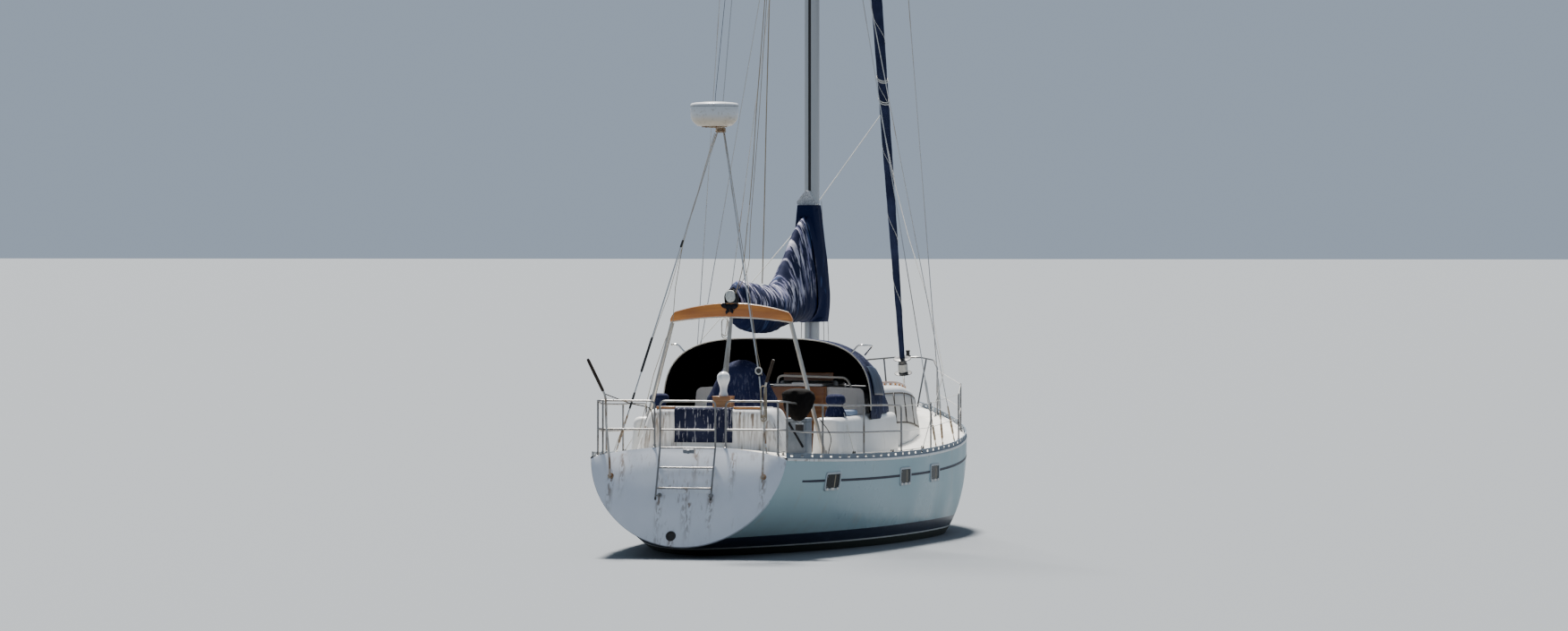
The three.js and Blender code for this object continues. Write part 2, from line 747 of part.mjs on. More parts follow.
// Backstay: one wire to a plate that also carries the radar, and two legs to the quarters

const plateX = -4600;
const plateZ = 5720;
const radomeX = -4930;
const radomeBaseZ = 5756;
add('backstay', joined([
  rod([at(243, 0, mastTopZ - 175), at(plateX, 0, plateZ)], wireRadius),
  box(plateX - 35, plateX + 35, -70, 70, plateZ - 45, plateZ + 20),
  box(radomeX - 130, plateX + 12, -60, 60, radomeBaseZ - 22, radomeBaseZ - seat),
]), 'steel');
add('radome', turned([
  [0, 0], [230, 0], [298, 50], [325, 120], [325, 205], [310, 270], [240, 318], [0, 334],
], radomeX, 0, radomeBaseZ, 20), 'whitePlastic');
const legKinks = { port: at(-5290, 370, 4140), starboard: at(-5855, -860, 2420) };
for (const { name, sign } of sides) {
  const foot = at(-6150, sign * 1030, deckTop(-6150, 1030) + 30);
  add(`backstay_leg_${name}`, onDeck(joined([
    rod([at(plateX - 12, sign * 45, plateZ - 49.3), legKinks[name], foot], 10),
    box(foot.x - 40, foot.x + 40, foot.y - 14, foot.y + 14, foot.z - 90, foot.z + 60),
  ])), 'steel');
}

// Headsail rolled on the forestay, with the drum that turns it

const stayTilt = Math.atan2(stayWay.x, stayWay.z);
function aroundStay(profile, count) {
  const outline = profile.map(([r, z]) => new THREE.Vector2(r, (z - stayFootZ) / stayWay.z));
  const geometry = new THREE.LatheGeometry(outline, count);
  geometry.rotateX(Math.PI / 2);
  geometry.rotateY(stayTilt);
  geometry.translate(stayFootX, 0, stayFootZ);
  return solid(geometry);
}
const drumBottomZ = 2210;
const rollBottomZ = 2450.4;
add('rolled_headsail', aroundStay([
  [0, rollBottomZ], [40, rollBottomZ], [42, 2800], [62, 4700], [80, 7800], [84, 10000], [70, 14000],
  [40, 18500], [16, 19300], [9, 19350], [9, stayTopZ], [0, stayTopZ],
], 12), 'navyCloth');
add('furler_drum', aroundStay([
  [0, drumBottomZ], [135, drumBottomZ], [135, 2225], [62, 2232], [62, 2420], [135, 2427], [135, 2442],
  [50, 2450], [0, 2450],
], 16), 'blackCloth');
add('stem_fitting', joined([
  rod([onStay(stayFootZ + 10), onStay(drumBottomZ - 0.4)], 14, 8),
  box(stayFootX - 160, stemX - 20, -50, 50, 1650, 1850),
  rod([at(stemX - 40, -62, 1830), at(stemX - 40, 62, 1830)], 38, 10),
]).subtract(underDeck.translate([0, 0, 0.5])), 'steel');

// Boom, its toggle at the mast, and the sail cover on it

const boomRise = (boomEndZ - gooseneckZ) / (gooseneckX - boomEndX);
const boomZ = (x) => gooseneckZ + (gooseneckX - x) * boomRise;
function boomTube(grow, x0, x1) {
  return loft([x0, x1].map((x) => {
    const ring = [];
    for (let k = 0; k < 12; k++) {
      const angle = (2 * Math.PI * (k + 0.5)) / 12;
      ring.push(at(x, (65 + grow) * Math.cos(angle), boomZ(x) + (82 + grow) * Math.sin(angle)));
    }
    return ring;
  }));
}
add('boom', joined([
  boomTube(0, boomEndX, gooseneckX - 70),
  box(gooseneckX - 100, gooseneckX + 26, -26, 26, gooseneckZ - 35.6, gooseneckZ + 35.6),
]), 'aluminium');

const coverSections = [
  // x, topZ, bottomZ, half breadth
  [-3830, 3640, 3160, 130],
  [-3500, 3650, 3020, 190],
  [-2200, 3590, 2935, 215],
  [-1550, 3640, 2990, 215],
  [-1100, 3940, 3040, 210],
  [-420, 4400, 3080, 205],
  [50, 4560, 3060, 200],
];
const coverBody = loft(coverSections.map(([x, topZ, bottomZ, half]) => {
  const ring = [];
  for (let k = 0; k < 12; k++) {
    const angle = (2 * Math.PI * k) / 12;
    const rise = Math.sin(angle);
    const belly = 3330;
    const z = rise > 0 ? belly + (topZ - belly) * rise : belly + (belly - bottomZ) * rise;
    const narrowing = rise > 0 ? 1 - 0.35 * rise * rise : 1;
    ring.push(at(x, half * Math.cos(angle) * narrowing, z));
  }
  return ring;
}));
add('sail_cover_boom', coverBody.subtract(boomTube(0.5, boomEndX - 200, gooseneckX)), 'navyCloth');

// The cover's fore end wraps the mast. Its aft side is round about the gooseneck, inside the
// sweep of the boom's cover, with a window for the boom to swing in.
const wrapLevels = [
  // z, half breadth, reach forward of the mast's centre
  [3060, 235, 215],
  [3330, 262, 235],
  [3900, 225, 215],
  [4400, 160, 180],
  [4720, 122, 160],
];
const wrapAft = 238;
const wrap = loft(wrapLevels.map(([z, half, front]) => {
  const ring = [];
  for (let k = -6; k <= 6; k++) {
    const angle = (k / 6) * (Math.PI / 2);
    ring.push(at(mastX + front * Math.cos(angle), half * Math.sin(angle), z));
  }
  const limit = Math.min(half, wrapAft) - 20;
  for (let k = 3; k >= -3; k--) {
    const y = (limit * k) / 3;
    ring.push(at(gooseneckX - Math.sqrt(wrapAft * wrapAft - y * y), y, z));
  }
  return ring;
}));
add('sail_cover_mast', wrap
  .subtract(loft([mastSection(2900, 0.5), mastSection(4900, 0.5)]))
  .subtract(box(-200, mastX - 20, -400, 400, gooseneckZ - 150, gooseneckZ + 170)), 'navyCloth');

// Guard rails: the stern rail runs forward to x = -1720 on each side, then wires go on to the pulpit

const postX = -1720;
const railRise = { top: 700, middle: 345 };
const railY = (x) => halfBreadth(x) - railInset;
const cornerY = railY(railX) - 10;
const onEdge = (x, sign, rise) => at(x, sign * railY(x), sheer(x) + deckEdge + rise);
function sternRail(sign, radius) {
  const topZ = 2080;
  const middleZ = 1700;
  const gateY = sign * gateHalfWidth;
  const along = [-5600, -4950, -4200, -3400, -2500];
  const postXs = [-4950, -3400];
  const top = bent([
    at(railX, gateY, deckTop(railX, gateHalfWidth) - 30),
    at(railX, gateY, topZ),
    at(railX, sign * cornerY, topZ),
    ...along.map((x) => onEdge(x, sign, railRise.top + 20)),
    onEdge(postX, sign, railRise.top),
    onEdge(postX, sign, -60),
  ], 70);
  const middle = [
    at(railX, gateY, middleZ),
    at(railX, sign * (cornerY - 60), middleZ),
    at(railX + 60, sign * cornerY, middleZ),
    ...along.map((x) => onEdge(x, sign, railRise.middle + 10)),
    onEdge(postX, sign, railRise.middle),
  ];
  const corner = at(railX, sign * cornerY, topZ);
  const nextPost = onEdge(along[0], sign, railRise.top + 20);
  const cornerTops = [corner.clone().setY(sign * (cornerY - 78)), corner.clone().lerp(nextPost, 0.18)];
  const posts = [
    ...cornerTops.map((p) => [p.clone().setZ(deckTop(p.x, p.y) - 40), p]),
    ...postXs.map((x) => [onEdge(x, sign, -60), onEdge(x, sign, railRise.top + 18)]),
  ];
  return joined([rod(top, radius), rod(middle, radius), ...posts.map((post) => rod(post, radius))]);
}
const stanchionXs = [-120, 1980, 3550];
const pulpitX = 5450;
for (const { name, sign } of sides) {
  add(`stern_rail_${name}`, onDeck(sternRail(sign, railRadius)), 'steel');
  const clear = railRadius + 1;
  const wires = [railRise.top - 12, railRise.middle].map((rise) => rod([
    onEdge(postX + clear, sign, rise),
    ...stanchionXs.map((x) => onEdge(x, sign, rise)),
    onEdge(pulpitX - clear, sign, rise - 20),
  ], 5));
  const stanchions = stanchionXs.map((x) => rod([onEdge(x, sign, -60), onEdge(x, sign, railRise.top)], 12));
  add(`life_lines_${name}`, onDeck(joined([...wires, ...stanchions])), 'steel');
}

const pulpitTopZ = 2450;
const pulpitTop = bent([
  onEdge(pulpitX, 1, -60),
  onEdge(pulpitX, 1, railRise.top),
  at(6020, 520, pulpitTopZ - 30),
  at(6560, 190, pulpitTopZ),
  at(6560, -190, pulpitTopZ),
  at(6020, -520, pulpitTopZ - 30),
  onEdge(pulpitX, -1, railRise.top),
  onEdge(pulpitX, -1, -60),
], 70);
const pulpitLegs = sides.map(({ sign }) => rod([
  at(6200, sign * 225, deckTop(6200, 225) - 40), at(6350, sign * 330, pulpitTopZ - 8),
], railRadius));
add('pulpit', onDeck(joined([rod(pulpitTop, railRadius), ...pulpitLegs])), 'steel');

// Covered barbecue hung on the starboard quarter's rail, whose tubes pass through the cover

const grillX = -5660;
const grillLevels = [
  // z, half length, inner y, outer y
  [1810, 120, 1230, 1440],
  [1950, 160, 1150, 1550],
  [2150, 160, 1130, 1580],
  [2245, 110, 1190, 1520],
];
add('grill_cover', loft(grillLevels.map(([z, halfX, inner, outer]) => ellipseRing(
  grillX, -(inner + outer) / 2, z, halfX, (outer - inner) / 2,
))).subtract(sternRail(-1, railRadius + 0.5)), 'blackCloth');

// Two poles on pads on the transom, bent outward at the top

const poleRoutes = {
  port: [[-6400, 1055, 1250], [-6345, 1120, 1780], [-6335, 1130, 2140], [-6335, 1380, 2640]],
  starboard: [[-6400, -1050, 1250], [-6345, -1058, 1780], [-6335, -1060, 2270], [-6335, -1180, 2640]],
};
const transomTool = aftOfTransom(-seat);
for (const { name, sign } of sides) {
  const padZ = 1080;
  const pad = at(transomX(padZ), sign * 1050, padZ);
  const offPad = (out) => pad.clone().addScaledVector(transomOut, out);
  const disc = rod([offPad(-10), offPad(14)], 42, 12);
  const pole = rod([
    offPad(5),
    offPad(55),
    ...poleRoutes[name].map(([x, y, z]) => at(x, y, z)),
  ], 16, 8);
  add(`stern_pole_${name}`, disc.add(pole).intersect(transomTool), 'steel');
}

// Boarding ladder: it stands up to close the gap in the stern rail, and swings aft and down
// about a pin in two arms on the transom.

const ladderOut = 100;
const ladderRungZs = [930, 1200, 1460, 1700];
const ladderTopZ = 2080;
const bendZ = 1470;
const ladderX = (z) => (z < bendZ ? transomX(z) - ladderOut : transomX(bendZ) - ladderOut);
const ladderRails = rod(bent([
  at(ladderX(780), ladderHalfWidth, 780),
  at(ladderX(bendZ), ladderHalfWidth, bendZ),
  at(ladderX(bendZ), ladderHalfWidth, ladderTopZ),
  at(ladderX(bendZ), -ladderHalfWidth, ladderTopZ),
  at(ladderX(bendZ), -ladderHalfWidth, bendZ),
  at(ladderX(780), -ladderHalfWidth, 780),
], 60), railRadius);
const rungs = ladderRungZs.map((z) => rod([
  at(ladderX(z), -ladderHalfWidth, z), at(ladderX(z), ladderHalfWidth, z),
], 12));
add('boarding_ladder', joined([ladderRails, ...rungs]), 'steel');
for (const { name, sign } of sides) {
  const y = sign * (ladderHalfWidth - railRadius - 14);
  const root = at(transomX(ladderHingeZ) - 4, y, ladderHingeZ);
  const offRoot = (out) => root.clone().addScaledVector(transomOut, out);
  const arm = rod([offRoot(-30), at(ladderX(ladderHingeZ), y, ladderHingeZ)], 12, 8);
  const foot = rod([offRoot(-30), offRoot(12)], 34, 12);
  const railSide = ladderHalfWidth - railRadius * Math.cos(Math.PI / 6);
  const pin = rod([
    at(ladderX(ladderHingeZ), y, ladderHingeZ),
    at(ladderX(ladderHingeZ), sign * (railSide - seat), ladderHingeZ),
  ], 7, 8);
  add(`ladder_arm_${name}`, joined([arm, foot, pin]).intersect(transomTool), 'steel');
}

export default group;
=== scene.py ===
from math import asin, atan, copysign, cos, exp, pi, radians, sin, sqrt

import bmesh
import bpy
import mathutils
import numpy as np
from mathutils import Matrix, Vector


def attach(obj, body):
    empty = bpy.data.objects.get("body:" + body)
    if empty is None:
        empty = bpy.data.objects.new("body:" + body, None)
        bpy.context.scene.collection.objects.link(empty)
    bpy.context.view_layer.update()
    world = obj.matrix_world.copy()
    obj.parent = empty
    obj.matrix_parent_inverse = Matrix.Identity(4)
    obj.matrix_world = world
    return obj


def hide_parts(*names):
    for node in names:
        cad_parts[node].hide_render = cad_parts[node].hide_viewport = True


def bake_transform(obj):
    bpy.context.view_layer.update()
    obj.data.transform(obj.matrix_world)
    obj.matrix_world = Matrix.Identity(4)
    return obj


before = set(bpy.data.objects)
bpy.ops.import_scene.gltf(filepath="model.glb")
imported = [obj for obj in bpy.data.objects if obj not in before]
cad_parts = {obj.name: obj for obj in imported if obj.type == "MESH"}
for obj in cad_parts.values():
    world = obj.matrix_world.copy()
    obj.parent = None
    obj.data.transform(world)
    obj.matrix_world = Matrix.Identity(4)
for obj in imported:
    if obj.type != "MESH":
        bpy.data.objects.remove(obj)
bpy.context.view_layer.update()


# Camera, light and floor. The camera stands off the starboard quarter with a long lens, 4.2 m up,
# turned a little right of the stern. The light comes high from ahead and to port, so that the
# transom and the near side lie in soft shade, and the pale floor is at the waterline.
def linked(name, data):
    """An object in the scene, made of its data."""
    item = bpy.data.objects.new(name, data)
    bpy.context.scene.collection.objects.link(item)
    return item


camera = linked("camera", bpy.data.cameras.new("camera"))
bpy.context.scene.camera = camera
camera.location = (-93.15, -23.29, 4.2)
camera.data.lens = 155.34
camera.data.sensor_width = 36
camera.data.clip_end = 4000
heading = radians(14.2)
dip = radians(0.625)
line_of_sight = Vector((cos(heading) * cos(dip), sin(heading) * cos(dip), -sin(dip)))
camera.rotation_mode = "QUATERNION"
camera.rotation_quaternion = line_of_sight.to_track_quat("-Z", "Y")

sun = linked("sun", bpy.data.lights.new("sun", "SUN"))
sun.data.energy = 12
sun.data.angle = radians(9)
sun.data.color = (1.0, 0.965, 0.91)
sun.rotation_mode = "QUATERNION"
sun.rotation_quaternion = Vector((-0.5, -0.24, -1.0)).to_track_quat("-Z", "Y")

world = bpy.data.worlds.new("pale_sky")
world.use_nodes = True
sky = world.node_tree.nodes["Background"].inputs
sky["Color"].default_value = (0.66, 0.8, 1.0, 1)
sky["Strength"].default_value = 0.48
bpy.context.scene.world = world

reach = 1500
floor_mesh = bpy.data.meshes.new("floor")
floor_corners = [(-reach, -reach, 0), (reach, -reach, 0), (reach, reach, 0), (-reach, reach, 0)]
floor_mesh.from_pydata(floor_corners, [], [(0, 1, 2, 3)])
floor = linked("floor", floor_mesh)
floor_paint = bpy.data.materials.new("pale_floor")
floor_paint.use_nodes = True
paint = floor_paint.node_tree.nodes["Principled BSDF"].inputs
paint["Base Color"].default_value = (0.155, 0.172, 0.19, 1)
paint["Roughness"].default_value = 0.8
floor_mesh.materials.append(floor_paint)


# Hull. A moulded fibreglass shell, gelcoated pale grey-green, with a navy boot stripe over a thin white
# line and black antifouling below. Its sections are a formula between stations, so the sheet of points
# is fine and fair, and the stripes are cut into it as faces of their own.
class Shade:
    """A value in a material. Operators on it add Math nodes."""

    def __init__(self, tree, socket):
        self.tree = tree
        self.socket = socket

    def math(self, operation, first, second=0.0):
        node = self.tree.nodes.new("ShaderNodeMath")
        node.operation = operation
        for socket, value in zip(node.inputs, (first, second)):
            if isinstance(value, Shade):
                self.tree.links.new(value.socket, socket)
            else:
                socket.default_value = value
        return Shade(self.tree, node.outputs[0])

    def __add__(self, other):
        return self.math("ADD", self, other)

    def __sub__(self, other):
        return self.math("SUBTRACT", self, other)

    def __rsub__(self, other):
        return self.math("SUBTRACT", other, self)

    def __mul__(self, other):
        return self.math("MULTIPLY", self, other)

    def __abs__(self):
        return self.math("ABSOLUTE", self)

    def __or__(self, other):
        return self.math("MAXIMUM", self, other)

    __radd__ = __add__
    __rmul__ = __mul__


class Finish:
    """A material of one surface, built up from nodes on Object coordinates."""

    def __init__(self, name, roughness=0.5, metallic=0.0, **fixed):
        self.material = bpy.data.materials.new(name)
        self.material.use_nodes = True
        self.tree = self.material.node_tree
        self.shader = self.tree.nodes["Principled BSDF"]
        self.surface(Roughness=roughness, Metallic=metallic, **fixed)
        self.place = self.node("TexCoord", output=3)

    def put(self, socket, value):
        if isinstance(value, Shade):
            self.tree.links.new(value.socket, socket)
        elif isinstance(value, tuple) and socket.type == "RGBA":
            socket.default_value = (*value, 1)
        else:
            socket.default_value = value

    def surface(self, **sockets):
        for name, value in sockets.items():
            self.put(self.shader.inputs[name.replace("_", " ")], value)
        return self

    def node(self, kind, settings=None, output=0, **sockets):
        node = self.tree.nodes.new("ShaderNode" + kind)
        for name, value in (settings or {}).items():
            if name == "inputs":
                for index, content in value.items():
                    self.put(node.inputs[index], content)
            else:
                setattr(node, name, value)
        for name, value in sockets.items():
            self.put(node.inputs[name.replace("_", " ")], value)
        return Shade(self.tree, node.outputs[output])

    def axes(self):
        parts = self.node("SeparateXYZ", Vector=self.place).socket.node
        return [Shade(self.tree, socket) for socket in parts.outputs]

    def noise(self, scale, detail=4.0, stretch=(1, 1, 1), seed=0.0, roughness=0.55):
        spot = self.node("Mapping", Vector=self.place, Scale=stretch, Location=(seed, seed * 0.7, seed * 1.3))
        return self.node("TexNoise", Vector=spot, Scale=scale, Detail=detail, Roughness=roughness)

    def patches(self, low, high, *noise):
        return self.step(self.noise(*noise), low, high)

    def tones(self, first, second, *noise, limits=None):
        """Two colours mixed by noise, which limits turn into patches."""
        mask = self.patches(*limits, *noise) if limits else self.noise(*noise)
        return self.surface(Base_Color=self.mix(mask, first, second))

    def step(self, value, low, high):
        return self.node(
            "MapRange", {"interpolation_type": "SMOOTHSTEP", "inputs": {0: value, 1: low, 2: high}}
        )

    def mix(self, mask, a, b):
        return self.node("Mix", {"data_type": "RGBA", "inputs": {0: mask, 6: a, 7: b}}, output=2)

    def relief(self, height, strength=0.3, distance=0.01):
        return self.surface(Normal=self.node("Bump", Height=height, Strength=strength, Distance=distance))


half_beam, widest_x, lowest_x = 1.96, 0.58, -1.22


def half_breadth(x):
    if x < widest_x:
        return half_beam - 0.6 * ((widest_x - x) / 6.8) ** 2.2
    return max(0.028, half_beam * (1 - ((x - widest_x) / 6.12) ** 2.2))


def sheer(x):
    return 1.2 + (0.00865 if x > lowest_x else 0.0042) * (x - lowest_x) ** 2


def deck_top(x, y):
    camber = 0.09 + 0.0024 * (x - lowest_x) ** 2 if x < lowest_x else 0.09 * half_breadth(x) / half_beam
    return sheer(x) + 0.025 + camber * (1 - (y / half_breadth(x)) ** 2)


def straight(table, x):
    """The values at x on straight lines through a table's rows, each of which is an x and its values."""
    xs, *columns = np.array(table).T
    return [float(np.interp(x, xs, ys)) for ys in columns]


def fair(table, x):
    """The same on smooth curves."""
    xs, ys = np.array(table)[:, 0], np.array(table)[:, 1:]
    slopes = np.gradient(ys, xs, axis=0)
    i = np.clip(np.searchsorted(xs, x) - 1, 0, len(xs) - 2)
    width = xs[i + 1] - xs[i]
    t = (x - xs[i]) / width
    near = (1 + 2 * t) * (1 - t) ** 2 * ys[i] + t * (1 - t) ** 2 * width * slopes[i]
    return (near + t * t * (3 - 2 * t) * ys[i + 1] - t * t * (1 - t) * width * slopes[i + 1]).tolist()


# x, keel z, depth power, breadth power
stations = [
    [-6.8, 0.17, 2.0, 2.0], [-6.22, 0.095, 2.0, 2.0], [-5.3, -0.06, 2.1, 2.05], [-4.3, -0.25, 2.3, 2.15],
    [-3.00, -0.45, 2.6, 2.3], [-1.4, -0.61, 2.9, 2.5], [0.5, -0.66, 3.0, 2.6], [2.00, -0.61, 2.9, 2.5],
    [3.2, -0.47, 2.4, 2.1], [4.2, -0.25, 1.9, 1.7], [4.9, -0.02, 1.5, 1.35], [5.5, 0.3, 1.3, 1.15],
    [6.00, 0.8, 1.1, 1.05], [6.4, 1.28, 1.0, 1.0], [6.7, 1.69, 1.0, 1.0],
]


def hull_point(x, angle):
    """A point of the skin to port, from the keel (0) to the sheer (half pi)."""
    keel, depth, breadth = fair(stations, x)
    drop = (sheer(x) - keel) * max(0.0, cos(angle)) ** (2 / depth)
    return Vector((x, half_breadth(x) * sin(angle) ** (2 / breadth), sheer(x) - drop))


def hull_ring(x, steps=26):
    half = [hull_point(x, k / steps * pi / 2) for k in range(steps + 1)]
    return [(p.x, -p.y, p.z) for p in reversed(half)] + half[1:]


def skin(rings, closed=False, ends=False):
    """Points and faces of a sheet through rings of equal length."""
    count = len(rings[0])
    points = [p for ring in rings for p in ring]
    faces = []
    for r in range(len(rings) - 1):
        for k in range(count if closed else count - 1):
            a, b = r * count + k, r * count + (k + 1) % count
            faces.append((a, b, b + count, a + count))
    if ends:
        faces.append(tuple(reversed(range(count))))
        faces.append(tuple(range(len(points) - count, len(points))))
    return points, faces


def solid(rings):
    """A closed body through rings of equal length, filled at both ends."""
    return skin(rings, closed=True, ends=True)


def made(name, parts, finish, crease=38.0, toward=None):
    """A mesh piece of one or more parts, at the origin, with its faces turned outwards, or, on an open
    sheet, toward a direction. Edges bent by more than the crease angle stay sharp."""
    mesh = bpy.data.meshes.new(name)
    points, faces = [], []
    for part_points, part_faces in parts:
        faces += [tuple(len(points) + i for i in face) for face in part_faces]
        points += [tuple(map(float, p)) for p in part_points]
    mesh.from_pydata(points, [], faces)
    shell = bmesh.new()
    shell.from_mesh(mesh)
    bmesh.ops.remove_doubles(shell, verts=shell.verts, dist=1e-5)
    bmesh.ops.recalc_face_normals(shell, faces=shell.faces)
    if toward and sum(face.normal.dot(Vector(toward)) * face.calc_area() for face in shell.faces) < 0:
        bmesh.ops.reverse_faces(shell, faces=shell.faces)
    shell.to_mesh(mesh)
    shell.free()
    return finished(name, mesh, finish, crease)


def finished(name, mesh, finish, crease=38.0):
    mesh.polygons.foreach_set("use_smooth", [True] * len(mesh.polygons))
    mesh.set_sharp_from_angle(angle=radians(crease))
    mesh.materials.clear()
    mesh.materials.append(finish.material)
    return linked(name, mesh)


def fit(piece, slot, *nodes, body="hull"):
    """The piece rides on a body and stands for the nodes named."""
    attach(piece, body)
    if nodes:
        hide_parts(*nodes)
    return piece


def cut(shell, spot, way, clear=False):
    geometry = shell.verts[:] + shell.edges[:] + shell.faces[:]
    bmesh.ops.bisect_plane(shell, geom=geometry, plane_co=spot, plane_no=way, clear_outer=clear)


def cut_aft(shell, inset=0.0):
    """Takes away what lies aft of the raked transom."""
    way = Vector((-0.9407, 0, 0.3392))
    cut(shell, Vector((-6.22, 0, 1.486)) - way * inset, way, clear=True)


topsides = Finish("topsides_gelcoat", roughness=0.3, Specular_IOR_Level=0.22)
_, _, z = topsides.axes()
runs = topsides.noise(3.2, 5, (1.6, 1.6, 0.12), 3)
mottle = topsides.noise(0.8, 3)
chalky = topsides.step(mottle, 0.35, 0.7)
gelcoat = topsides.mix(chalky, (0.29, 0.42, 0.46), (0.34, 0.475, 0.5))
low_grime = topsides.step(0.62 - z, 0.0, 0.45) * topsides.patches(0.35, 0.75, 6, 4)
gelcoat = topsides.mix(low_grime * 0.45, gelcoat, (0.3, 0.34, 0.3))
gelcoat = topsides.mix(topsides.step(runs, 0.58, 0.8) * 0.35, gelcoat, (0.36, 0.33, 0.25))
topsides.surface(Base_Color=gelcoat, Roughness=0.25 + 0.25 * chalky)
topsides.relief(topsides.noise(1.4, 2), 0.12, 0.02)

boot_paint = Finish("boot_stripe_paint", roughness=0.35)
boot_paint.tones((0.006, 0.01, 0.03), (0.03, 0.045, 0.08), 9, 6, (0.6, 0.6, 2.2), limits=(0.5, 0.8))
line_paint = Finish("white_line_paint", roughness=0.45).tones((0.62, 0.63, 0.58), (0.74, 0.74, 0.7), 14, 4)
antifouling = Finish("antifouling", roughness=0.82)
_, _, z = antifouling.axes()
slime = antifouling.step(z + 0.25 * antifouling.noise(5, 5), -0.02, 0.16)
antifouling.surface(Base_Color=antifouling.mix(slime, (0.007, 0.009, 0.01), (0.022, 0.028, 0.018)))
antifouling.relief(antifouling.noise(60, 4), 0.25, 0.003)

hull = made("hull", [skin([hull_ring(x) for x in np.linspace(-6.8, 6.7, 100)])], topsides)
stripe_heights = [0.105, 0.125, 0.275]
hull.data.materials.clear()
for finish in (antifouling, line_paint, boot_paint, topsides):
    hull.data.materials.append(finish.material)
shell = bmesh.new()
shell.from_mesh(hull.data)
cut_aft(shell)
for height in stripe_heights:
    cut(shell, (0, 0, height), (0, 0, 1))
for face in shell.faces:
    face.material_index = sum(face.calc_center_median().z > height for height in stripe_heights)
    face.smooth = True
shell.to_mesh(hull.data)
shell.free()
fit(hull, "topsides", "hull_topsides", "boot_stripe", "hull_bottom")


# Transom. A flat raked panel with a rounded rim, white gelcoat gone chalky and tinted a cool blue-grey as
# painted shade, with rust and dirt run down from its fittings and from the deck edge. A stern light sits at
# the top, an exhaust outlet low down.
transom_rake = atan(0.3606)
transom_out = Vector((-cos(transom_rake), 0, sin(transom_rake)))


def transom_x(z):
    return -6.22 - 0.3606 * (1.486 - z)


def transom_edge(angle):
    """Where the transom's plane meets the hull."""
    x = -6.5
    for _ in range(15):
        x = transom_x(hull_point(x, angle).z)
    return hull_point(x, angle)


def transom_top(y):
    x = -6.22
    for _ in range(6):
        x = transom_x(deck_top(x, y))
    return Vector((x, y, deck_top(x, y)))


def streaked(name, heaviest, sources=(), spread=0.07, tone=((0.66, 0.67, 0.68), (0.78, 0.78, 0.77))):
    """White gelcoat with dirt run down it; sources are (y, z) of fittings that weep rust."""
    finish = Finish(name, roughness=0.38, Coat_Weight=0.15)
    _, y, z = finish.axes()
    ground = finish.mix(finish.patches(0.3, 0.7, 1.1, 4), *tone)
    fine = finish.patches(0.5, 0.7, 24, 6, (1, 1, 0.07), 5)
    patches = finish.patches(0.45, 0.7, 2.2, 4, (1, 1, 0.5), 9)
    dirt = fine * patches
    for source_y, source_z in sources:
        drop = source_z - z
        beside = finish.step(abs(y - source_y), spread, 0.0)
        below = finish.step(drop, -0.015, 0.02) * finish.step(drop, 0.7, 0.0)
        ragged = finish.patches(0.44, 0.56, 30, 5, (1, 1, 0.09), source_z)
        dirt = dirt | (beside * below * ragged)
    rust = finish.mix(finish.noise(7, 3), (0.12, 0.075, 0.05), (0.27, 0.2, 0.14))
    finish.surface(Base_Color=finish.mix(dirt * heaviest, ground, rust), Roughness=0.36 + 0.3 * dirt)
    return finish.relief(finish.noise(1.5, 2), 0.1, 0.01)


def angles(count):
    """Even steps round a circle."""
    return [2 * pi * k / count for k in range(count)]


def turned(profile, spot=(0, 0, 0), axis=(0, 0, 1), steps=24):
    """A part turned round an axis; the profile is (radius, height) pairs."""
    turn = Vector(axis).to_track_quat("Z", "Y").to_matrix()
    rings = [
        [
            Vector(spot) + turn @ Vector((radius * cos(angle), radius * sin(angle), height))
            for angle in angles(steps)
        ]
        for radius, height in profile
    ]
    return solid(rings)


def cast(x0, x1, y0, y1, z0, z1, corner=0.03, edge=0.015, lean=0.0, steps=4):
    """A moulded box with rounded upright corners, a rounded top edge and sides that may lean in."""
    turns = np.linspace(0, pi / 2, steps + 1)
    levels = [(0.0, z0)] + [(lean + edge * (1 - cos(a)), z1 - edge + edge * sin(a)) for a in turns]
    rings = []
    for inset, z in levels:
        ring = []
        round_off = max(corner - inset, 0.002)
        for k, (x, y) in enumerate(((x1, y1), (x0, y1), (x0, y0), (x1, y0))):
            centre_x = x - copysign(round_off + inset, x - (x0 + x1) / 2)
            centre_y = y - copysign(round_off + inset, y - (y0 + y1) / 2)
            for a in turns + k * pi / 2:
                ring.append((centre_x + round_off * cos(a), centre_y + round_off * sin(a), z))
        rings.append(ring)
    return solid(rings)


def placed(part, matrix):
    points, faces = part
    return [matrix @ Vector(p) for p in points], faces


pads = [(1.05, 1.08), (-1.05, 1.08), (0.353, 0.831), (-0.353, 0.831)]
exhaust_y, exhaust_z = 0.147, 0.3
light_z = 1.415
rim = [transom_edge(a) for a in np.linspace(0, pi / 2, 40)]
corner_y = rim[-1].y
top_arc = [transom_top(y) for y in np.linspace(corner_y, -corner_y, 41)]
outline = rim + top_arc[1:-1] + [Vector((p.x, -p.y, p.z)) for p in reversed(rim[1:])]
panel_centre = Vector((transom_x(0.8), 0, 0.8))
panel_rings = []
for depth, inset in ((0.04, 0.0), (0.009, 0.0), (0.003, 0.002), (0.0, 0.009)):
    panel_rings.append([p - transom_out * depth + (panel_centre - p).normalized() * inset for p in outline])
# The tone is bluer and darker than the other white gelcoats: painted shade on the white transom.
transom_gelcoat_painted_shade = streaked(
    "transom_gelcoat_painted_shade", 0.9,
    [*pads, (exhaust_y, exhaust_z), (0.0, 0.93), (-0.06, 0.74), (-0.1, 1.45), (0.9, 1.38), (-0.62, 1.4)],
    tone=((0.6, 0.635, 0.7), (0.68, 0.71, 0.76)),
)
panel = made("transom_panel", [solid(panel_rings)], transom_gelcoat_painted_shade)
fit(panel, "white_gelcoat", "transom")

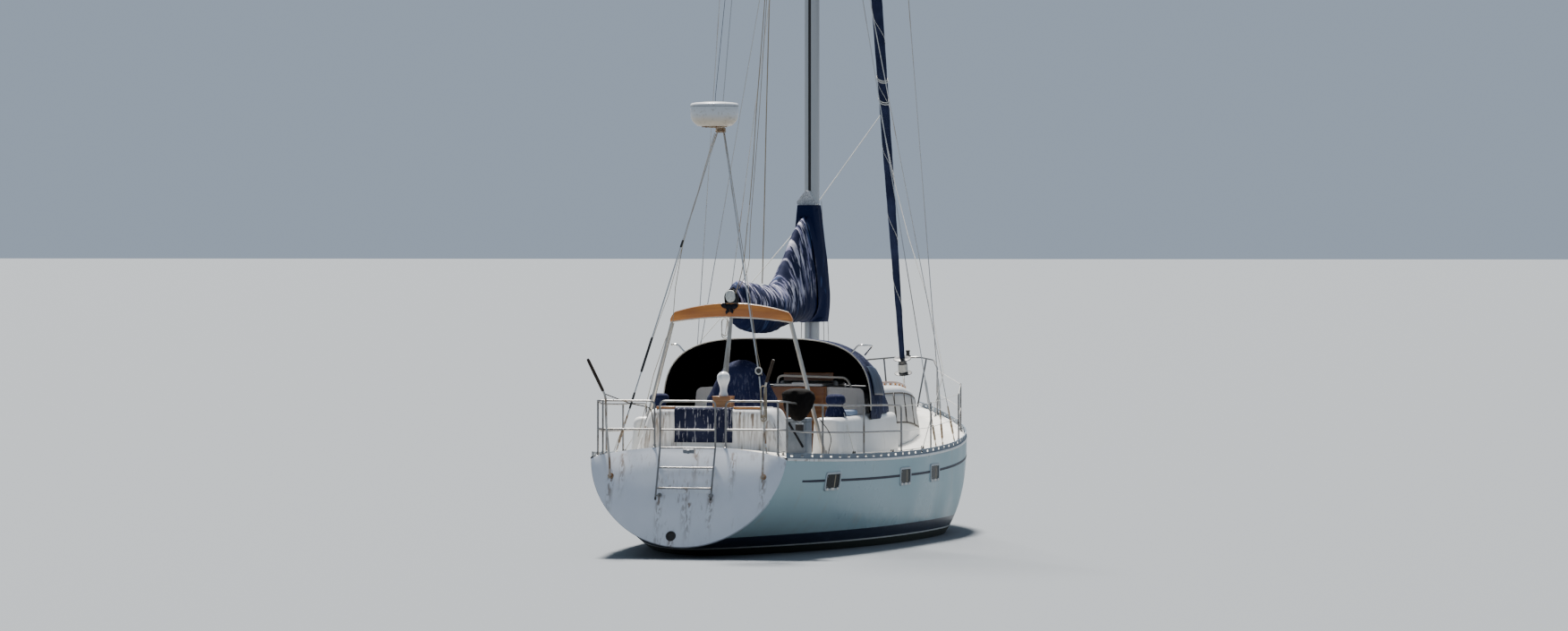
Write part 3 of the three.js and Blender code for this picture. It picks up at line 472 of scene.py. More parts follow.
dark_rubber = Finish("dark_rubber", roughness=0.7).tones((0.012, 0.012, 0.013), (0.04, 0.035, 0.03), 30)
outlet_spot = Vector((transom_x(exhaust_z), exhaust_y, exhaust_z))
outlet = made(
    "exhaust_outlet",
    [turned(
        [
            (0.0, 0.003), (0.046, 0.003), (0.05, 0.014), (0.062, 0.014), (0.07, 0.0), (0.07, -0.02),
            (0.0, -0.02),
        ],
        outlet_spot, transom_out, 32,
    )],
    dark_rubber,
)
fit(outlet, "grey_plastic")

moulded_grey = Finish("moulded_grey", roughness=0.55)
moulded_grey.tones((0.13, 0.155, 0.185), (0.24, 0.26, 0.285), 4, 5, limits=(0.35, 0.7))
moulded_grey.relief(moulded_grey.noise(120, 3), 0.15, 0.001)
on_panel = Matrix.Translation((transom_x(light_z), 0.009, light_z)) @ Matrix.Rotation(-transom_rake, 4, "Y")
housing = [
    placed(cast(-0.018, 0.03, -0.075, 0.075, -0.03, 0.03, 0.008, 0.006), on_panel),
    placed(
        turned([(0, 0), (0.03, 0), (0.026, 0.02), (0.012, 0.03), (0, 0.032)], (-0.016, 0, 0), (-1, 0, 0)),
        on_panel,
    ),
]
fit(made("stern_light", housing, moulded_grey), "grey_plastic")


# Ports in the topsides. Three on each side, each a grey frame screwed over dark toughened glass, with a
# tan upright bar and three pale clips; the frames' blue-grey tint is partly a painted reflection of the hull.
# They lie tangent to the hull's skin.
def hull_side(x, z):
    keel, depth, breadth = fair(stations, x)
    drop = min(max((sheer(x) - z) / (sheer(x) - keel), 0), 1) ** (depth / 2)
    return half_breadth(x) * (1 - drop ** 2) ** (1 / breadth)


def hull_frame(x, z, sign):
    """A matrix whose x runs along the skin, y up it, and z straight out."""
    spot = Vector((x, sign * hull_side(x, z), z))
    along = (Vector((x + 0.05, sign * hull_side(x + 0.05, z), z)) - spot).normalized()
    up = (Vector((x, sign * hull_side(x, z + 0.05), z + 0.05)) - spot).normalized()
    out = along.cross(up).normalized()
    if out.y * sign < 0:
        along = -along
        out = -out
    return Matrix.Translation(spot) @ Matrix((along, up, out)).transposed().to_4x4()


def rounded_outline(length, height, corner, z=0.0, steps=6):
    ring = []
    for k, (x, y) in enumerate(((1, 1), (-1, 1), (-1, -1), (1, -1))):
        for a in np.linspace(0, pi / 2, steps + 1) + k * pi / 2:
            ring.append(Vector((
                x * (length / 2 - corner) + corner * cos(a), y * (height / 2 - corner) + corner * sin(a), z
            )))
    return ring


steel = Finish("stainless_steel", roughness=0.24, metallic=1.0)
tarnish = steel.patches(0.5, 0.75, 18, 5, (1, 1, 1), 4)
steel.surface(
    Base_Color=steel.mix(tarnish, (0.62, 0.62, 0.61), (0.42, 0.36, 0.28)), Roughness=0.2 + 0.35 * tarnish
)
dark_glass = Finish("dark_glass", roughness=0.2, Specular_IOR_Level=0.04)
dark_glass.tones((0.002, 0.003, 0.004), (0.006, 0.009, 0.011), 3, 2)
pale_plastic = Finish("pale_plastic", roughness=0.4).tones((0.6, 0.57, 0.49), (0.74, 0.72, 0.66), 6, 4)
# The frames' blue-grey tint is partly a painted reflection of the hull's colour on their steel.
frame_grey_and_reflection = Finish("port_frame_grey", roughness=0.4, metallic=0.3)
frame_grey_and_reflection.tones((0.26, 0.32, 0.36), (0.42, 0.46, 0.48), 20, 3)
bar_tan = Finish("bar_tan", roughness=0.5).tones((0.2, 0.155, 0.09), (0.34, 0.29, 0.2), 14, 3)
both_sides = (("port", 1), ("starboard", -1))
port_places = [(-4.73, 0.976), (-1.757, 0.947), (-0.173, 0.947)]
port_length, port_height = 0.53, 0.255
frame_rings = [
    rounded_outline(port_length - grow, port_height - grow, 0.055 - grow / 3, out)
    for grow, out in (
        (0.0, -0.01), (0.0, 0.005), (0.008, 0.012), (0.056, 0.012), (0.066, 0.005), (0.068, -0.01)
    )
]
pane = [rounded_outline(port_length - 0.067, port_height - 0.067, 0.035, out) for out in (-0.01, 0.003)]
for side, sign in both_sides:
    port_frames, panes, bars, clips = [], [], [], []
    for x, z in port_places:
        place = hull_frame(x, z, sign)
        port_frames.append(placed(skin(frame_rings, closed=True), place))
        for angle in angles(10):
            screw = (0.48 * port_length * cos(angle), 0.455 * port_height * sin(angle), 0.01)
            port_frames.append(placed(
                turned([(0.007, 0), (0.006, 0.004), (0, 0.005)], screw, steps=8), place
            ))
        panes.append(placed(solid(pane), place))
        bars.append(placed(cast(0.06, 0.09, -0.085, 0.085, 0.0, 0.0045, 0.004, 0.002), place))
        for start, stop in ((-0.2, -0.14), (-0.04, 0.06), (0.16, 0.21)):
            clips.append(placed(cast(start, stop, -0.118, -0.088, 0.0, 0.015, 0.004, 0.003), place))
    fit(made(f"port_frames_{side}", port_frames, frame_grey_and_reflection), "stainless")
    fit(made(f"port_glass_{side}", panes, dark_glass), "grey_plastic")
    fit(made(f"port_bars_{side}", bars, bar_tan), "white_plastic")
    fit(made(f"port_clips_{side}", clips, pale_plastic), "white_plastic")


# Cove line. A thin dark blue line let into the topsides under the sheer, from a little forward of the
# transom to the stem, stopped at each port.
def cove_z(x):
    return sheer(x) - np.interp(x, [-5.61, -4.96, -2.0], [0.279, 0.266, 0.24])


cove_paint = Finish("cove_line_paint", roughness=0.4, Specular_IOR_Level=0.08)
cove_paint.tones((0.002, 0.005, 0.022), (0.007, 0.013, 0.038), 12, 4)
cove_stops = [-5.72]
for x, _ in port_places:
    cove_stops += [x - 0.27, x + 0.27]
cove_stops.append(6.45)
cove_half = 0.017
for side, sign in both_sides:
    strips = []
    for start, end in zip(cove_stops[::2], cove_stops[1::2]):
        rings = []
        for x in np.linspace(start, end, max(4, int((end - start) / 0.15))):
            taper = min(1.0, 0.8 + (x + 5.72) * 0.4)
            ring = []
            for rise, out in ((-1, -0.004), (1, -0.004), (1, 0.003), (-1, 0.003)):
                z = cove_z(x) + rise * cove_half * taper
                ring.append((x, sign * (hull_side(x, z) + out), z))
            rings.append(ring)
        strips.append(solid(rings))
    fit(made(f"cove_line_{side}", strips, cove_paint), "boot_paint")


# Deck. A moulded cambered deck from the transom to the stem, off-white and dirty, with non-skid panels
# between smooth gutters, and a white gunwale lip over the topsides. It is open where the cockpit is.
deck_white = Finish("deck_gelcoat", roughness=0.5)
x, _, _ = deck_white.axes()
margin = deck_white.node("Attribute", {"attribute_name": "margin"}, output=2)
gutter = deck_white.step(
    abs(deck_white.node("Math", {"operation": "FRACT", "inputs": {0: x * 0.82}}) - 0.5), 0.045, 0.03
)
smooth_edge = deck_white.step(margin, 0.15, 0.13)
smooth = gutter | smooth_edge
grime = deck_white.patches(0.44, 0.72, 2.6, 6)
spots = deck_white.patches(0.62, 0.75, 17, 6, (1, 1, 1), 6)
plain = deck_white.mix(smooth, (0.7, 0.69, 0.64), (0.79, 0.785, 0.76))
plain = deck_white.mix(grime * 0.4, plain, (0.5, 0.46, 0.38))
smears = deck_white.patches(0.5, 0.6, 9, 6, (1, 1, 1), 8) * deck_white.step(x, -4.6, -5.9)
plain = deck_white.mix(smears * 0.85, plain, (0.22, 0.15, 0.09))
deck_white.surface(
    Base_Color=deck_white.mix(spots * 0.5, plain, (0.26, 0.19, 0.12)), Roughness=0.62 - 0.2 * smooth
)
deck_white.relief((1 - smooth) * deck_white.noise(170, 2), 0.35, 0.003)
cockpit_x = (-4.3, -1.35)
cockpit_half = 1.05
deck_rings = []
for x in np.linspace(-6.34, 6.69, 110):
    half = half_breadth(x)
    low = sheer(x)
    lip = [
        (half - 0.002, low - 0.012), (half + 0.006, low - 0.004), (half + 0.007, low + 0.014),
        (half, low + 0.024),
    ]
    across = [(half * f, deck_top(x, half * f)) for f in np.linspace(1, -1, 42)[1:-1]]
    edge = lip + across + [(-side_y, edge_z) for side_y, edge_z in reversed(lip)]
    deck_rings.append([(x, side_y, edge_z) for side_y, edge_z in edge])
deck = made("deck_moulding", [skin(deck_rings)], deck_white, toward=(0, 0, 1))


def opened(piece, low, high, aft_inset=None):
    """Cuts an opening between two corners, of which None leaves a side open, through a piece."""
    shell = bmesh.new()
    shell.from_mesh(piece.data)
    if aft_inset is not None:
        cut_aft(shell, aft_inset)
    for limits in (high, low):
        for axis, limit in enumerate(limits):
            if limit is not None:
                way = [float(k == axis) for k in range(3)]
                cut(shell, [limit * part for part in way], way)
    gone = []
    for face in shell.faces:
        middle = face.calc_center_median()
        if all((a is None or a < m) and (b is None or m < b) for a, m, b in zip(low, middle, high)):
            gone.append(face)
    bmesh.ops.delete(shell, geom=gone, context="FACES")
    shell.to_mesh(piece.data)
    shell.free()


opened(deck, (cockpit_x[0], -cockpit_half, None), (cockpit_x[1], cockpit_half, None), aft_inset=0.006)
margins = [half_breadth(vertex.co.x) - abs(vertex.co.y) for vertex in deck.data.vertices]
deck.data.attributes.new("margin", "FLOAT", "POINT").data.foreach_set("value", margins)
fit(deck, "white_gelcoat", "deck")


# Toe rails. Anodised alloy extrusions bolted through the deck edge on both sides: a foot, a web pierced
# with slots for the sheet blocks, and a rounded top. The slotted web is one short length, repeated.
class Tree:
    """A Geometry Nodes tree with named inputs, and the plain mesh that it grows from a set of points."""

    def __init__(self, name, **inputs):
        self.group = bpy.data.node_groups.new(name, "GeometryNodeTree")
        for label, kind in {"Geometry": "Geometry", "Material": "Material", **inputs}.items():
            self.group.interface.new_socket(label, in_out="INPUT", socket_type="NodeSocket" + kind)
        self.group.interface.new_socket("Geometry", in_out="OUTPUT", socket_type="NodeSocketGeometry")
        self.given = self.group.nodes.new("NodeGroupInput").outputs

    def node(self, kind, settings=None, inputs=None, output=0):
        node = self.group.nodes.new(kind)
        for name, value in (settings or {}).items():
            setattr(node, name, value)
        for key, value in (inputs or {}).items():
            if isinstance(value, bpy.types.NodeSocket):
                self.group.links.new(value, node.inputs[key])
            else:
                node.inputs[key].default_value = value
        return node.outputs[output]

    def attribute(self, name, kind):
        return self.node("GeometryNodeInputNamedAttribute", {"data_type": kind}, {"Name": name})

    def end(self, geometry):
        real = self.node("GeometryNodeRealizeInstances", inputs={"Geometry": geometry})
        painted = self.node(
            "GeometryNodeSetMaterial", inputs={"Geometry": real, "Material": self.given["Material"]}
        )
        self.group.links.new(painted, self.group.nodes.new("NodeGroupOutput").inputs[0])

    def grown(self, name, points, finish, edges=(), vectors=None, values=None, crease=38.0, **inputs):
        seed = bpy.data.meshes.new(name + "_path")
        seed.from_pydata([tuple(p) for p in points], list(edges), [])
        for label, data in (vectors or {}).items():
            flat = [component for vector in data for component in vector]
            seed.attributes.new(label, "FLOAT_VECTOR", "POINT").data.foreach_set("vector", flat)
        for label, data in (values or {}).items():
            seed.attributes.new(label, "FLOAT", "POINT").data.foreach_set("value", data)
        holder = linked(name + "_path", seed)
        modifier = holder.modifiers.new(name, "NODES")
        modifier.node_group = self.group
        given = {"Material": finish.material, **inputs}
        for socket in self.group.interface.items_tree:
            if socket.in_out == "INPUT" and socket.name in given:
                modifier[socket.identifier] = given[socket.name]
        evaluated = holder.evaluated_get(bpy.context.evaluated_depsgraph_get())
        mesh = bpy.data.meshes.new_from_object(evaluated)
        holder.modifiers.remove(modifier)
        bpy.data.objects.remove(holder)
        mesh.name = name
        return finished(name, mesh, finish, crease)


set_out = Tree("set_out_items", Item="Object", Size="Float")
item = set_out.node("GeometryNodeObjectInfo", inputs={"Object": set_out.given["Item"]}, output=4)
turn = set_out.node(
    "FunctionNodeAxesToRotation", {"primary_axis": "X", "secondary_axis": "Z"},
    {
        "Primary Axis": set_out.attribute("way", "FLOAT_VECTOR"),
        "Secondary Axis": set_out.attribute("up", "FLOAT_VECTOR"),
    },
)
set_out.end(set_out.node(
    "GeometryNodeInstanceOnPoints",
    inputs={
        "Points": set_out.given["Geometry"], "Instance": item, "Rotation": turn,
        "Scale": set_out.given["Size"],
    },
))


def laid_out(name, item_parts, spots, finish, size=1.0, crease=38.0):
    """One piece of many like items; spots are (place, way, up) in metres."""
    item = made(name + "_item", item_parts, finish)
    piece = set_out.grown(
        name, [place for place, _, _ in spots], finish, crease=crease, Item=item, Size=size,
        vectors={"way": [way for _, way, _ in spots], "up": [up for _, _, up in spots]},
    )
    bpy.data.objects.remove(item)
    return piece


anodised = Finish("anodised_alloy", roughness=0.5, metallic=0.35)
chalked = anodised.patches(0.4, 0.72, 5, 6, (1, 1, 0.3))
anodised.surface(
    Base_Color=anodised.mix(chalked, (0.095, 0.135, 0.18), (0.2, 0.235, 0.27)),
    Roughness=0.42 + 0.25 * chalked,
)
rail_step = 0.33
rail_height = 0.07
slot_half = 0.036
slot = rounded_outline(2 * slot_half + 0.03, 0.03, 0.0149, steps=3)
quarter = [
    (rail_step / 2, 0), (rail_step / 2, rail_height / 2), (slot_half + 0.03, rail_height / 2),
    (slot_half, rail_height / 2),
]
around = quarter + [(-a, b) for a, b in reversed(quarter)]
around += [(-a, -b) for a, b in quarter] + [(a, -b) for a, b in reversed(quarter)]
web_rings = [
    [(p[0], offset, p[1] + rail_height / 2) for p in ring]
    for ring, offset in (
        (around, -0.004), (slot, -0.004), (slot, 0.004), (around, 0.004), (around, -0.004)
    )
]
rail_ends = (-6.2, 6.33)
for side, sign in both_sides:
    def on_rail(x, inward=0.0155, rise=0.0):
        return Vector((x, sign * (half_breadth(x) - inward), sheer(x) + 0.0253 + rise))
    spots = []
    x = rail_ends[0] + 0.1
    while x < rail_ends[1] - 0.1:
        way = (on_rail(x + 0.05) - on_rail(x - 0.05)).normalized()
        spots.append((on_rail(x), way, (0, 0, 1)))
        x += rail_step * way.x
    web = laid_out(f"toe_rail_web_{side}", [skin(web_rings, closed=True)], spots, anodised)
    fit(web, "spar_alloy", f"toe_rail_{side}")
    strips = []
    for section in (
        [(0.003, 0.0), (0.028, 0.0), (0.028, 0.004), (0.02, 0.007), (0.012, 0.007), (0.003, 0.004)],
        [(0.006, 0.056), (0.025, 0.056), (0.027, 0.063), (0.023, 0.069), (0.008, 0.069), (0.004, 0.063)],
    ):
        rings = [[on_rail(x, inward, rise) for inward, rise in section] for x in np.linspace(*rail_ends, 90)]
        strips.append(solid(rings))
    fit(made(f"toe_rail_caps_{side}", strips, anodised), "spar_alloy")


# Coachroof. The trunk cabin is one moulding with the deck: sides that lean in, a wide rounded shoulder, a
# cambered top and a front sloped down to the foredeck. The way below is cut through its aft end.
# x, half base, half top, top z
roof_table = [
    [-1.35, 1.31, 1.21, 2.18], [0.0, 1.29, 1.19, 2.18], [1.5, 1.24, 1.13, 2.15], [2.6, 1.12, 1.0, 2.06],
    [3.5, 0.95, 0.82, 1.94], [3.95, 0.85, 0.7, 1.87], [4.28, 0.8, 0.64, 1.56],
]
roof_base_z = 1.1
shoulder = (0.09, 0.11)
crown = 0.022
roof_gelcoat = streaked("coachroof_gelcoat", 0.3, tone=((0.74, 0.735, 0.71), (0.83, 0.825, 0.81)))


def roof_side(x, z, out=0.0):
    """The y of the cabin's side, with a height that may run up to its shoulder."""
    half_base, half_top, top = fair(roof_table, x)
    rise = (z - roof_base_z) / (top - shoulder[1] - roof_base_z)
    return half_base + (half_top - half_base) * rise + out


def roof_top(x, y):
    _, half_top, top = fair(roof_table, x)
    return top - crown * (y / (half_top - shoulder[0])) ** 2


roof_rings = []
for x in [*np.linspace(-1.35, 3.8, 44), 3.88, 3.95, 4.02, 4.1, 4.19, 4.28]:
    half_base, half_top, top = ((a + b) / 2 for a, b in zip(straight(roof_table, x), fair(roof_table, x)))
    half_ring = [
        (half_base, roof_base_z), (half_base + (half_top - half_base) * 0.5, (roof_base_z + top - 0.11) / 2)
    ]
    for a in np.linspace(0, pi / 2, 9):
        half_ring.append((
            half_top - shoulder[0] * (1 - cos(a)),
            top - crown - shoulder[1] + 0.022 + (shoulder[1] - 0.022) * sin(a),
        ))
    for f in np.linspace(1, 0, 10)[1:]:
        half_ring.append(((half_top - shoulder[0]) * f, top - crown * f ** 2))
    ring = half_ring + [(-a, b) for a, b in reversed(half_ring[:-1])]
    roof_rings.append([(x, a, b) for a, b in ring])
roof = made("coachroof_moulding", [solid(roof_rings)], roof_gelcoat)
left, right, low_y, high_y = -1.36, -0.76, -0.63, 0.09
opened(roof, (None, low_y, 1.25), (right, high_y, None))
fit(roof, "white_gelcoat", "coachroof")


def thickened(piece, thickness, offset=-1):
    """Gives a sheet its wall: behind it (-1), before it (1) or to both sides (0)."""
    wall = piece.modifiers.new("thickness", "SOLIDIFY")
    wall.thickness = thickness
    wall.offset = offset
    return piece


liner_paint = Finish("cabin_liner", roughness=0.6).tones((0.32, 0.3, 0.26), (0.42, 0.4, 0.35), 3)
liner = [(left, low_y), (right, low_y), (right, high_y), (left, high_y)]
liner_points = [(x, y, z) for z in (1.02, 2.165) for x, y in liner]
way_walls = made(
    "companionway_liner", [(liner_points, [(0, 1, 5, 4), (1, 2, 6, 5), (2, 3, 7, 6), (0, 3, 2, 1)])],
    liner_paint, toward=(-1, 0, 0.2),
)
fit(thickened(way_walls, 0.015), "white_gelcoat")


# Wood. Varnished teak for the washboards, the steps and the trims, with long grain and fine dark pores
# under a clear coat. The boards stand in two upright guides at the cabin's aft end.
def teak(name, along, pale=(0.5, 0.22, 0.065), dark=(0.25, 0.09, 0.022), gloss=0.28):
    stretch = {"x": (0.12, 1, 1), "y": (1, 0.12, 1), "z": (1, 1, 0.12)}[along]
    finish = Finish(name, roughness=gloss, Coat_Weight=0.5, Coat_Roughness=0.12)
    rings = finish.noise(9, 3, stretch, 2)
    pores = finish.noise(150, 4, tuple(max(s * 0.3, 0.02) if s < 1 else s for s in stretch), 5)
    grain = finish.step(rings, 0.34, 0.68)
    colour = finish.mix(grain, dark, pale)
    finish.surface(Base_Color=finish.mix(finish.step(pores, 0.55, 0.75) * 0.5, colour, dark))
    return finish.relief(pores, 0.12, 0.001)


board_wood = teak("washboard_teak", "y")
board_x = (-1.38, -1.3505)
board_y = (-0.685, 0.145)
boards = []
board_joints = [1.2515, 1.49, 1.73, 1.95, 2.176]
for low, high in zip(board_joints, board_joints[1:]):
    boards.append(cast(
        board_x[0], board_x[1], board_y[0] + 0.045, board_y[1] - 0.045, low, high - 0.004, 0.006, 0.005
    ))
for y in board_y:
    inner = 0.05 if y < 0 else -0.05
    boards.append(cast(
        board_x[0] - 0.012, board_x[1], min(y, y + inner), max(y, y + inner), 1.2515, 2.178, 0.008, 0.006
    ))
fit(made("washboard_set", boards, board_wood), "varnished_wood", "washboards")

steps = []
for k, z in enumerate((1.02, 1.3, 1.58)):
    x = right - 0.04 - 0.1 * (2 - k)
    steps.append(cast(x - 0.16, right - 0.02, low_y + 0.1, high_y - 0.1, z + 0.14, z + 0.165, 0.012, 0.008))
fit(made("companionway_steps", steps, teak("step_teak", "y")), "varnished_wood")


# Hatches. The sliding hatch and the hood that it runs under are white mouldings with rounded edges, the
# hood open aft; a wood board stands up at the hood's aft edge.
hatch_gelcoat = streaked("hatch_gelcoat", 0.25, tone=((0.72, 0.715, 0.69), (0.8, 0.8, 0.785)))
slide = [
    cast(-1.385, -0.745, -0.63, 0.09, 2.1816, 2.214, 0.03, 0.014),
    cast(-1.39, -1.35, -0.36, -0.18, 2.2, 2.234, 0.012, 0.01),
]
fit(made("sliding_hatch", slide, hatch_gelcoat), "white_gelcoat", "companion_hatch", body="main_hatch")
hood_x = (-0.74, -0.12)
hood_y = (-0.69, 0.15)
hood_z = (2.1803, 2.245)
near_edge = [(0, hood_z[0]), (0, hood_z[1] - 0.03), (0.012, hood_z[1] - 0.008), (0.035, hood_z[1])]
near_wall = [(0.05, hood_z[1] - 0.005), (0.05, hood_z[0])]
hood_section = [(hood_y[0] + y, z) for y, z in near_edge]
hood_section += [(hood_y[1] - y, z) for y, z in reversed(near_edge)]
hood_section += [(hood_y[1] - y, z) for y, z in reversed(near_wall)]
hood_section += [(hood_y[0] + y, z) for y, z in near_wall]
hood_rings = [[(x, y, z) for y, z in hood_section] for x in (hood_x[0], hood_x[0] + 0.01, hood_x[1] - 0.03)]
hood_parts = [
    solid(hood_rings),
    cast(
        hood_x[1] - 0.037, hood_x[1], hood_y[0], hood_y[1], hood_z[0] - 0.01, hood_z[1] - 0.0005, 0.03, 0.02
    ),
]
fit(made("hatch_hood", hood_parts, hatch_gelcoat), "white_gelcoat", "sea_hood")
hood_board = [cast(-0.775, -0.745, hood_y[0] + 0.06, hood_y[1] - 0.06, 2.246, 2.36, 0.008, 0.012)]
fit(made("hood_board", hood_board, teak("hood_teak", "y")), "varnished_wood")


# Fore hatch. A white frame on the sloped fore end of the roof and a grey acrylic lid in an alloy rim,
# hinged forward, with two knobs aft.
hatch_x = (2.68, 3.28)
hatch_z = 2.095
frame_outer = [(x, y) for x, y, _ in rounded_outline(0.6, 0.6, 0.06)]
frame_inner = [(x, y) for x, y, _ in rounded_outline(0.51, 0.51, 0.035)]
middle_x = sum(hatch_x) / 2
frame_levels = [
    (frame_outer, 1.93), (frame_outer, hatch_z - 0.008),
    ([(a * 0.985, b * 0.985) for a, b in frame_outer], hatch_z), (frame_inner, hatch_z),
    (frame_inner, 1.93), (frame_outer, 1.93),
]
frame_rings_fore = [[(middle_x + a, b, z) for a, b in ring] for ring, z in frame_levels]
fit(
    made("fore_hatch_coaming", [skin(frame_rings_fore, closed=True)], hatch_gelcoat), "white_gelcoat",
    "fore_hatch_frame",
)
lid_outer = rounded_outline(0.61, 0.61, 0.065)
lid_rim = [
    [(middle_x + p.x * s, p.y * s, hatch_z + h) for p in lid_outer]
    for s, h in (
        (1, 0.0008), (1, 0.02), (0.985, 0.027), (0.87, 0.027), (0.86, 0.02), (0.86, 0.0008), (1, 0.0008)
    )
]
hinge = [
    turned(
        [(0, -0.05), (0.011, -0.05), (0.011, 0.05), (0, 0.05)], (hatch_x[1] + 0.014, y, hatch_z + 0.014),
        (0, 1, 0), 12,
    )
    for y in (-0.14, 0.14)
]
hinge += [
    cast(
        hatch_x[1] - 0.04, hatch_x[1] + 0.02, y - 0.03, y + 0.03, hatch_z + 0.012, hatch_z + 0.03, 0.006,
        0.004,
    )
    for y in (-0.14, 0.14)
]
fit(
    made("fore_hatch_rim", [skin(lid_rim, closed=True), *hinge], anodised), "spar_alloy",
    "fore_hatch_lid", body="fore_hatch",
)
acrylic = Finish("smoked_acrylic", roughness=0.12, Specular_IOR_Level=0.4)
acrylic.tones((0.035, 0.04, 0.048), (0.07, 0.075, 0.085), 2, 3)
acrylic.relief(acrylic.noise(35, 5), 0.03, 0.001)
lid_pane = [
    [(middle_x + p.x * s, p.y * s, hatch_z + h) for p in lid_outer]
    for s, h in ((0.862, 0.004), (0.862, 0.021))
]
lid_knobs = [
    turned([(0, 0.018), (0.02, 0.018), (0.017, 0.03), (0, 0.032)], (hatch_x[0] + 0.06, y, hatch_z))
    for y in (-0.18, 0.18)
]
fit(made("fore_hatch_pane", [solid(lid_pane), *lid_knobs], acrylic), "grey_plastic", body="fore_hatch")


# Window covers. Panels of faded grey-beige canvas snapped over the cabin's side windows, each bound with
# a darker tape, so that dark seams stand between them.
def canvas(
    name, dark, pale, fade=0.5, weave=900, bump=0.25, sheen_streaks=0.0, sheen_tone=(0.55, 0.55, 0.6),
    gleam=0.12, sheen_cut=0.54, sheen_rise=0.2,
):
    finish = Finish(name, roughness=0.85, Specular_IOR_Level=gleam)
    worn = finish.patches(0.36, 0.72, 2.3, 5)
    _, _, up = finish.axes()
    colour = finish.mix(worn * fade, dark, pale)
    # Upright pale streaks in the sheen tone: painted sheen and glints on the cloth's folds.
    if sheen_streaks:
        line = finish.step(finish.noise(44, 4, (1, 1, sheen_rise), 7), sheen_cut, sheen_cut + 0.06)
        patch = finish.patches(0.4, 0.5, 7, 4, (1, 1, 0.5), 3)
        colour = finish.mix(line * patch * sheen_streaks, colour, sheen_tone)
    finish.surface(Base_Color=colour)
    threads = finish.noise(weave, 1, (1, 1, 1), 1)
    slubs = finish.noise(30, 4, (1, 1, 1), 2)
    return finish.relief(0.4 * threads + slubs, bump, 0.004)


def cloth(name, rows, finish, thickness=0.003, toward=(0, 0, 1), levels=0, closed=False):
    """A sheet through rows of points, given the thickness of cloth."""
    piece = made(name, [skin(rows, closed=closed)], finish, crease=80, toward=toward)
    if levels:
        smoother = piece.modifiers.new("smooth", "SUBSURF")
        smoother.levels = smoother.render_levels = levels
    return thickened(piece, thickness, 1)


cover_canvas = canvas("window_cover_canvas", (0.5, 0.49, 0.475), (0.62, 0.61, 0.6))
cover_tape = canvas("window_cover_tape", (0.1, 0.09, 0.08), (0.17, 0.16, 0.14))
panel_ends = [(-0.22, 0.5), (0.56, 1.28), (1.34, 2.02), (2.08, 2.66)]
panel_drop = 0.42
tape_half, hem_half = 0.005, 0.011
for side, sign in both_sides:
    for k, (aft, fore) in enumerate(panel_ends):
        rows = []
        for x in np.linspace(aft, fore, 14):
            top = fair(roof_table, x)[2] - 0.13
            low = max(top - panel_drop, deck_top(x, roof_side(x, 1.45)) + 0.07)
            swell = sin((x - aft) / (fore - aft) * pi)
            row = []
            for t in np.linspace(0, 1, 9):
                z = low + (top - low) * t
                out = 0.008 + 0.012 * swell * sin(t * pi) + 0.003 * sin(31 * x + 9 * t)
                row.append((x, sign * roof_side(x, z, out), z))
            rows.append(row)
        sheet = cloth(f"window_cover_{side}_{k + 1}", rows, cover_canvas, toward=(0, sign, 0))
        hem = []
        for upright, path in (
            (True, rows[0]), (True, rows[-1]), (False, [row[0] for row in rows]),
            (False, [row[-1] for row in rows]),
        ):
            rings = []
            for x, y, z in path:
                outer = y + sign * tape_half
                if upright:
                    rings.append([(x + hem_half * cos(a), outer + tape_half * sin(a), z) for a in angles(8)])
                else:
                    rings.append([(x, outer + tape_half * cos(a), z + hem_half * sin(a)) for a in angles(8)])
            hem.append(solid(rings))
        tape = made(f"window_cover_tape_{side}_{k + 1}", hem, cover_tape)
        fit(sheet, "navy_canvas")
        fit(tape, "navy_canvas")


# Cockpit. One moulded tub let into the deck, with seats on both sides, a foot well down the middle, and
# teak slats laid on the seats and the sole. White coamings stand on the deck outside it.
cockpit_gelcoat = streaked("cockpit_gelcoat", 0.25, tone=((0.66, 0.65, 0.62), (0.77, 0.765, 0.745)))
seat_z, sole_z = 1.25, 0.87
well_x, well_half = (-4.15, -1.5), 0.42


def plan(x0, x1, half, corner, z, y=0.0, steps=5):
    return [
        ((x0 + x1) / 2 + p.x, y + p.y, z)
        for p in rounded_outline(x1 - x0, 2 * half, corner, steps=steps)
    ]


aft_x, fore_x = cockpit_x
tub_rings = [[(x, y, deck_top(x, y) + 0.001) for x, y, _ in plan(aft_x, fore_x, cockpit_half, 0.03, 0)]]
for inset, z in ((0.0, seat_z + 0.03), (0.009, seat_z + 0.009), (0.03, seat_z)):
    tub_rings.append(plan(aft_x + inset, fore_x - inset, cockpit_half - inset, 0.05, z))
for grow, z in (
    (0.02, seat_z), (0.006, seat_z - 0.006), (0.0, seat_z - 0.02), (0.0, sole_z + 0.03),
    (-0.01, sole_z + 0.01), (-0.03, sole_z),
):
    tub_rings.append(plan(well_x[0] - grow, well_x[1] + grow, well_half + grow, 0.08, z))
tub_points, tub_faces = skin(tub_rings, closed=True)
tub_faces.append(tuple(range(len(tub_points) - len(tub_rings[-1]), len(tub_points))))
tub = made("cockpit_moulding", [(tub_points, tub_faces)], cockpit_gelcoat, toward=(0, 0, 1))
fit(tub, "white_gelcoat", "cockpit_tub")

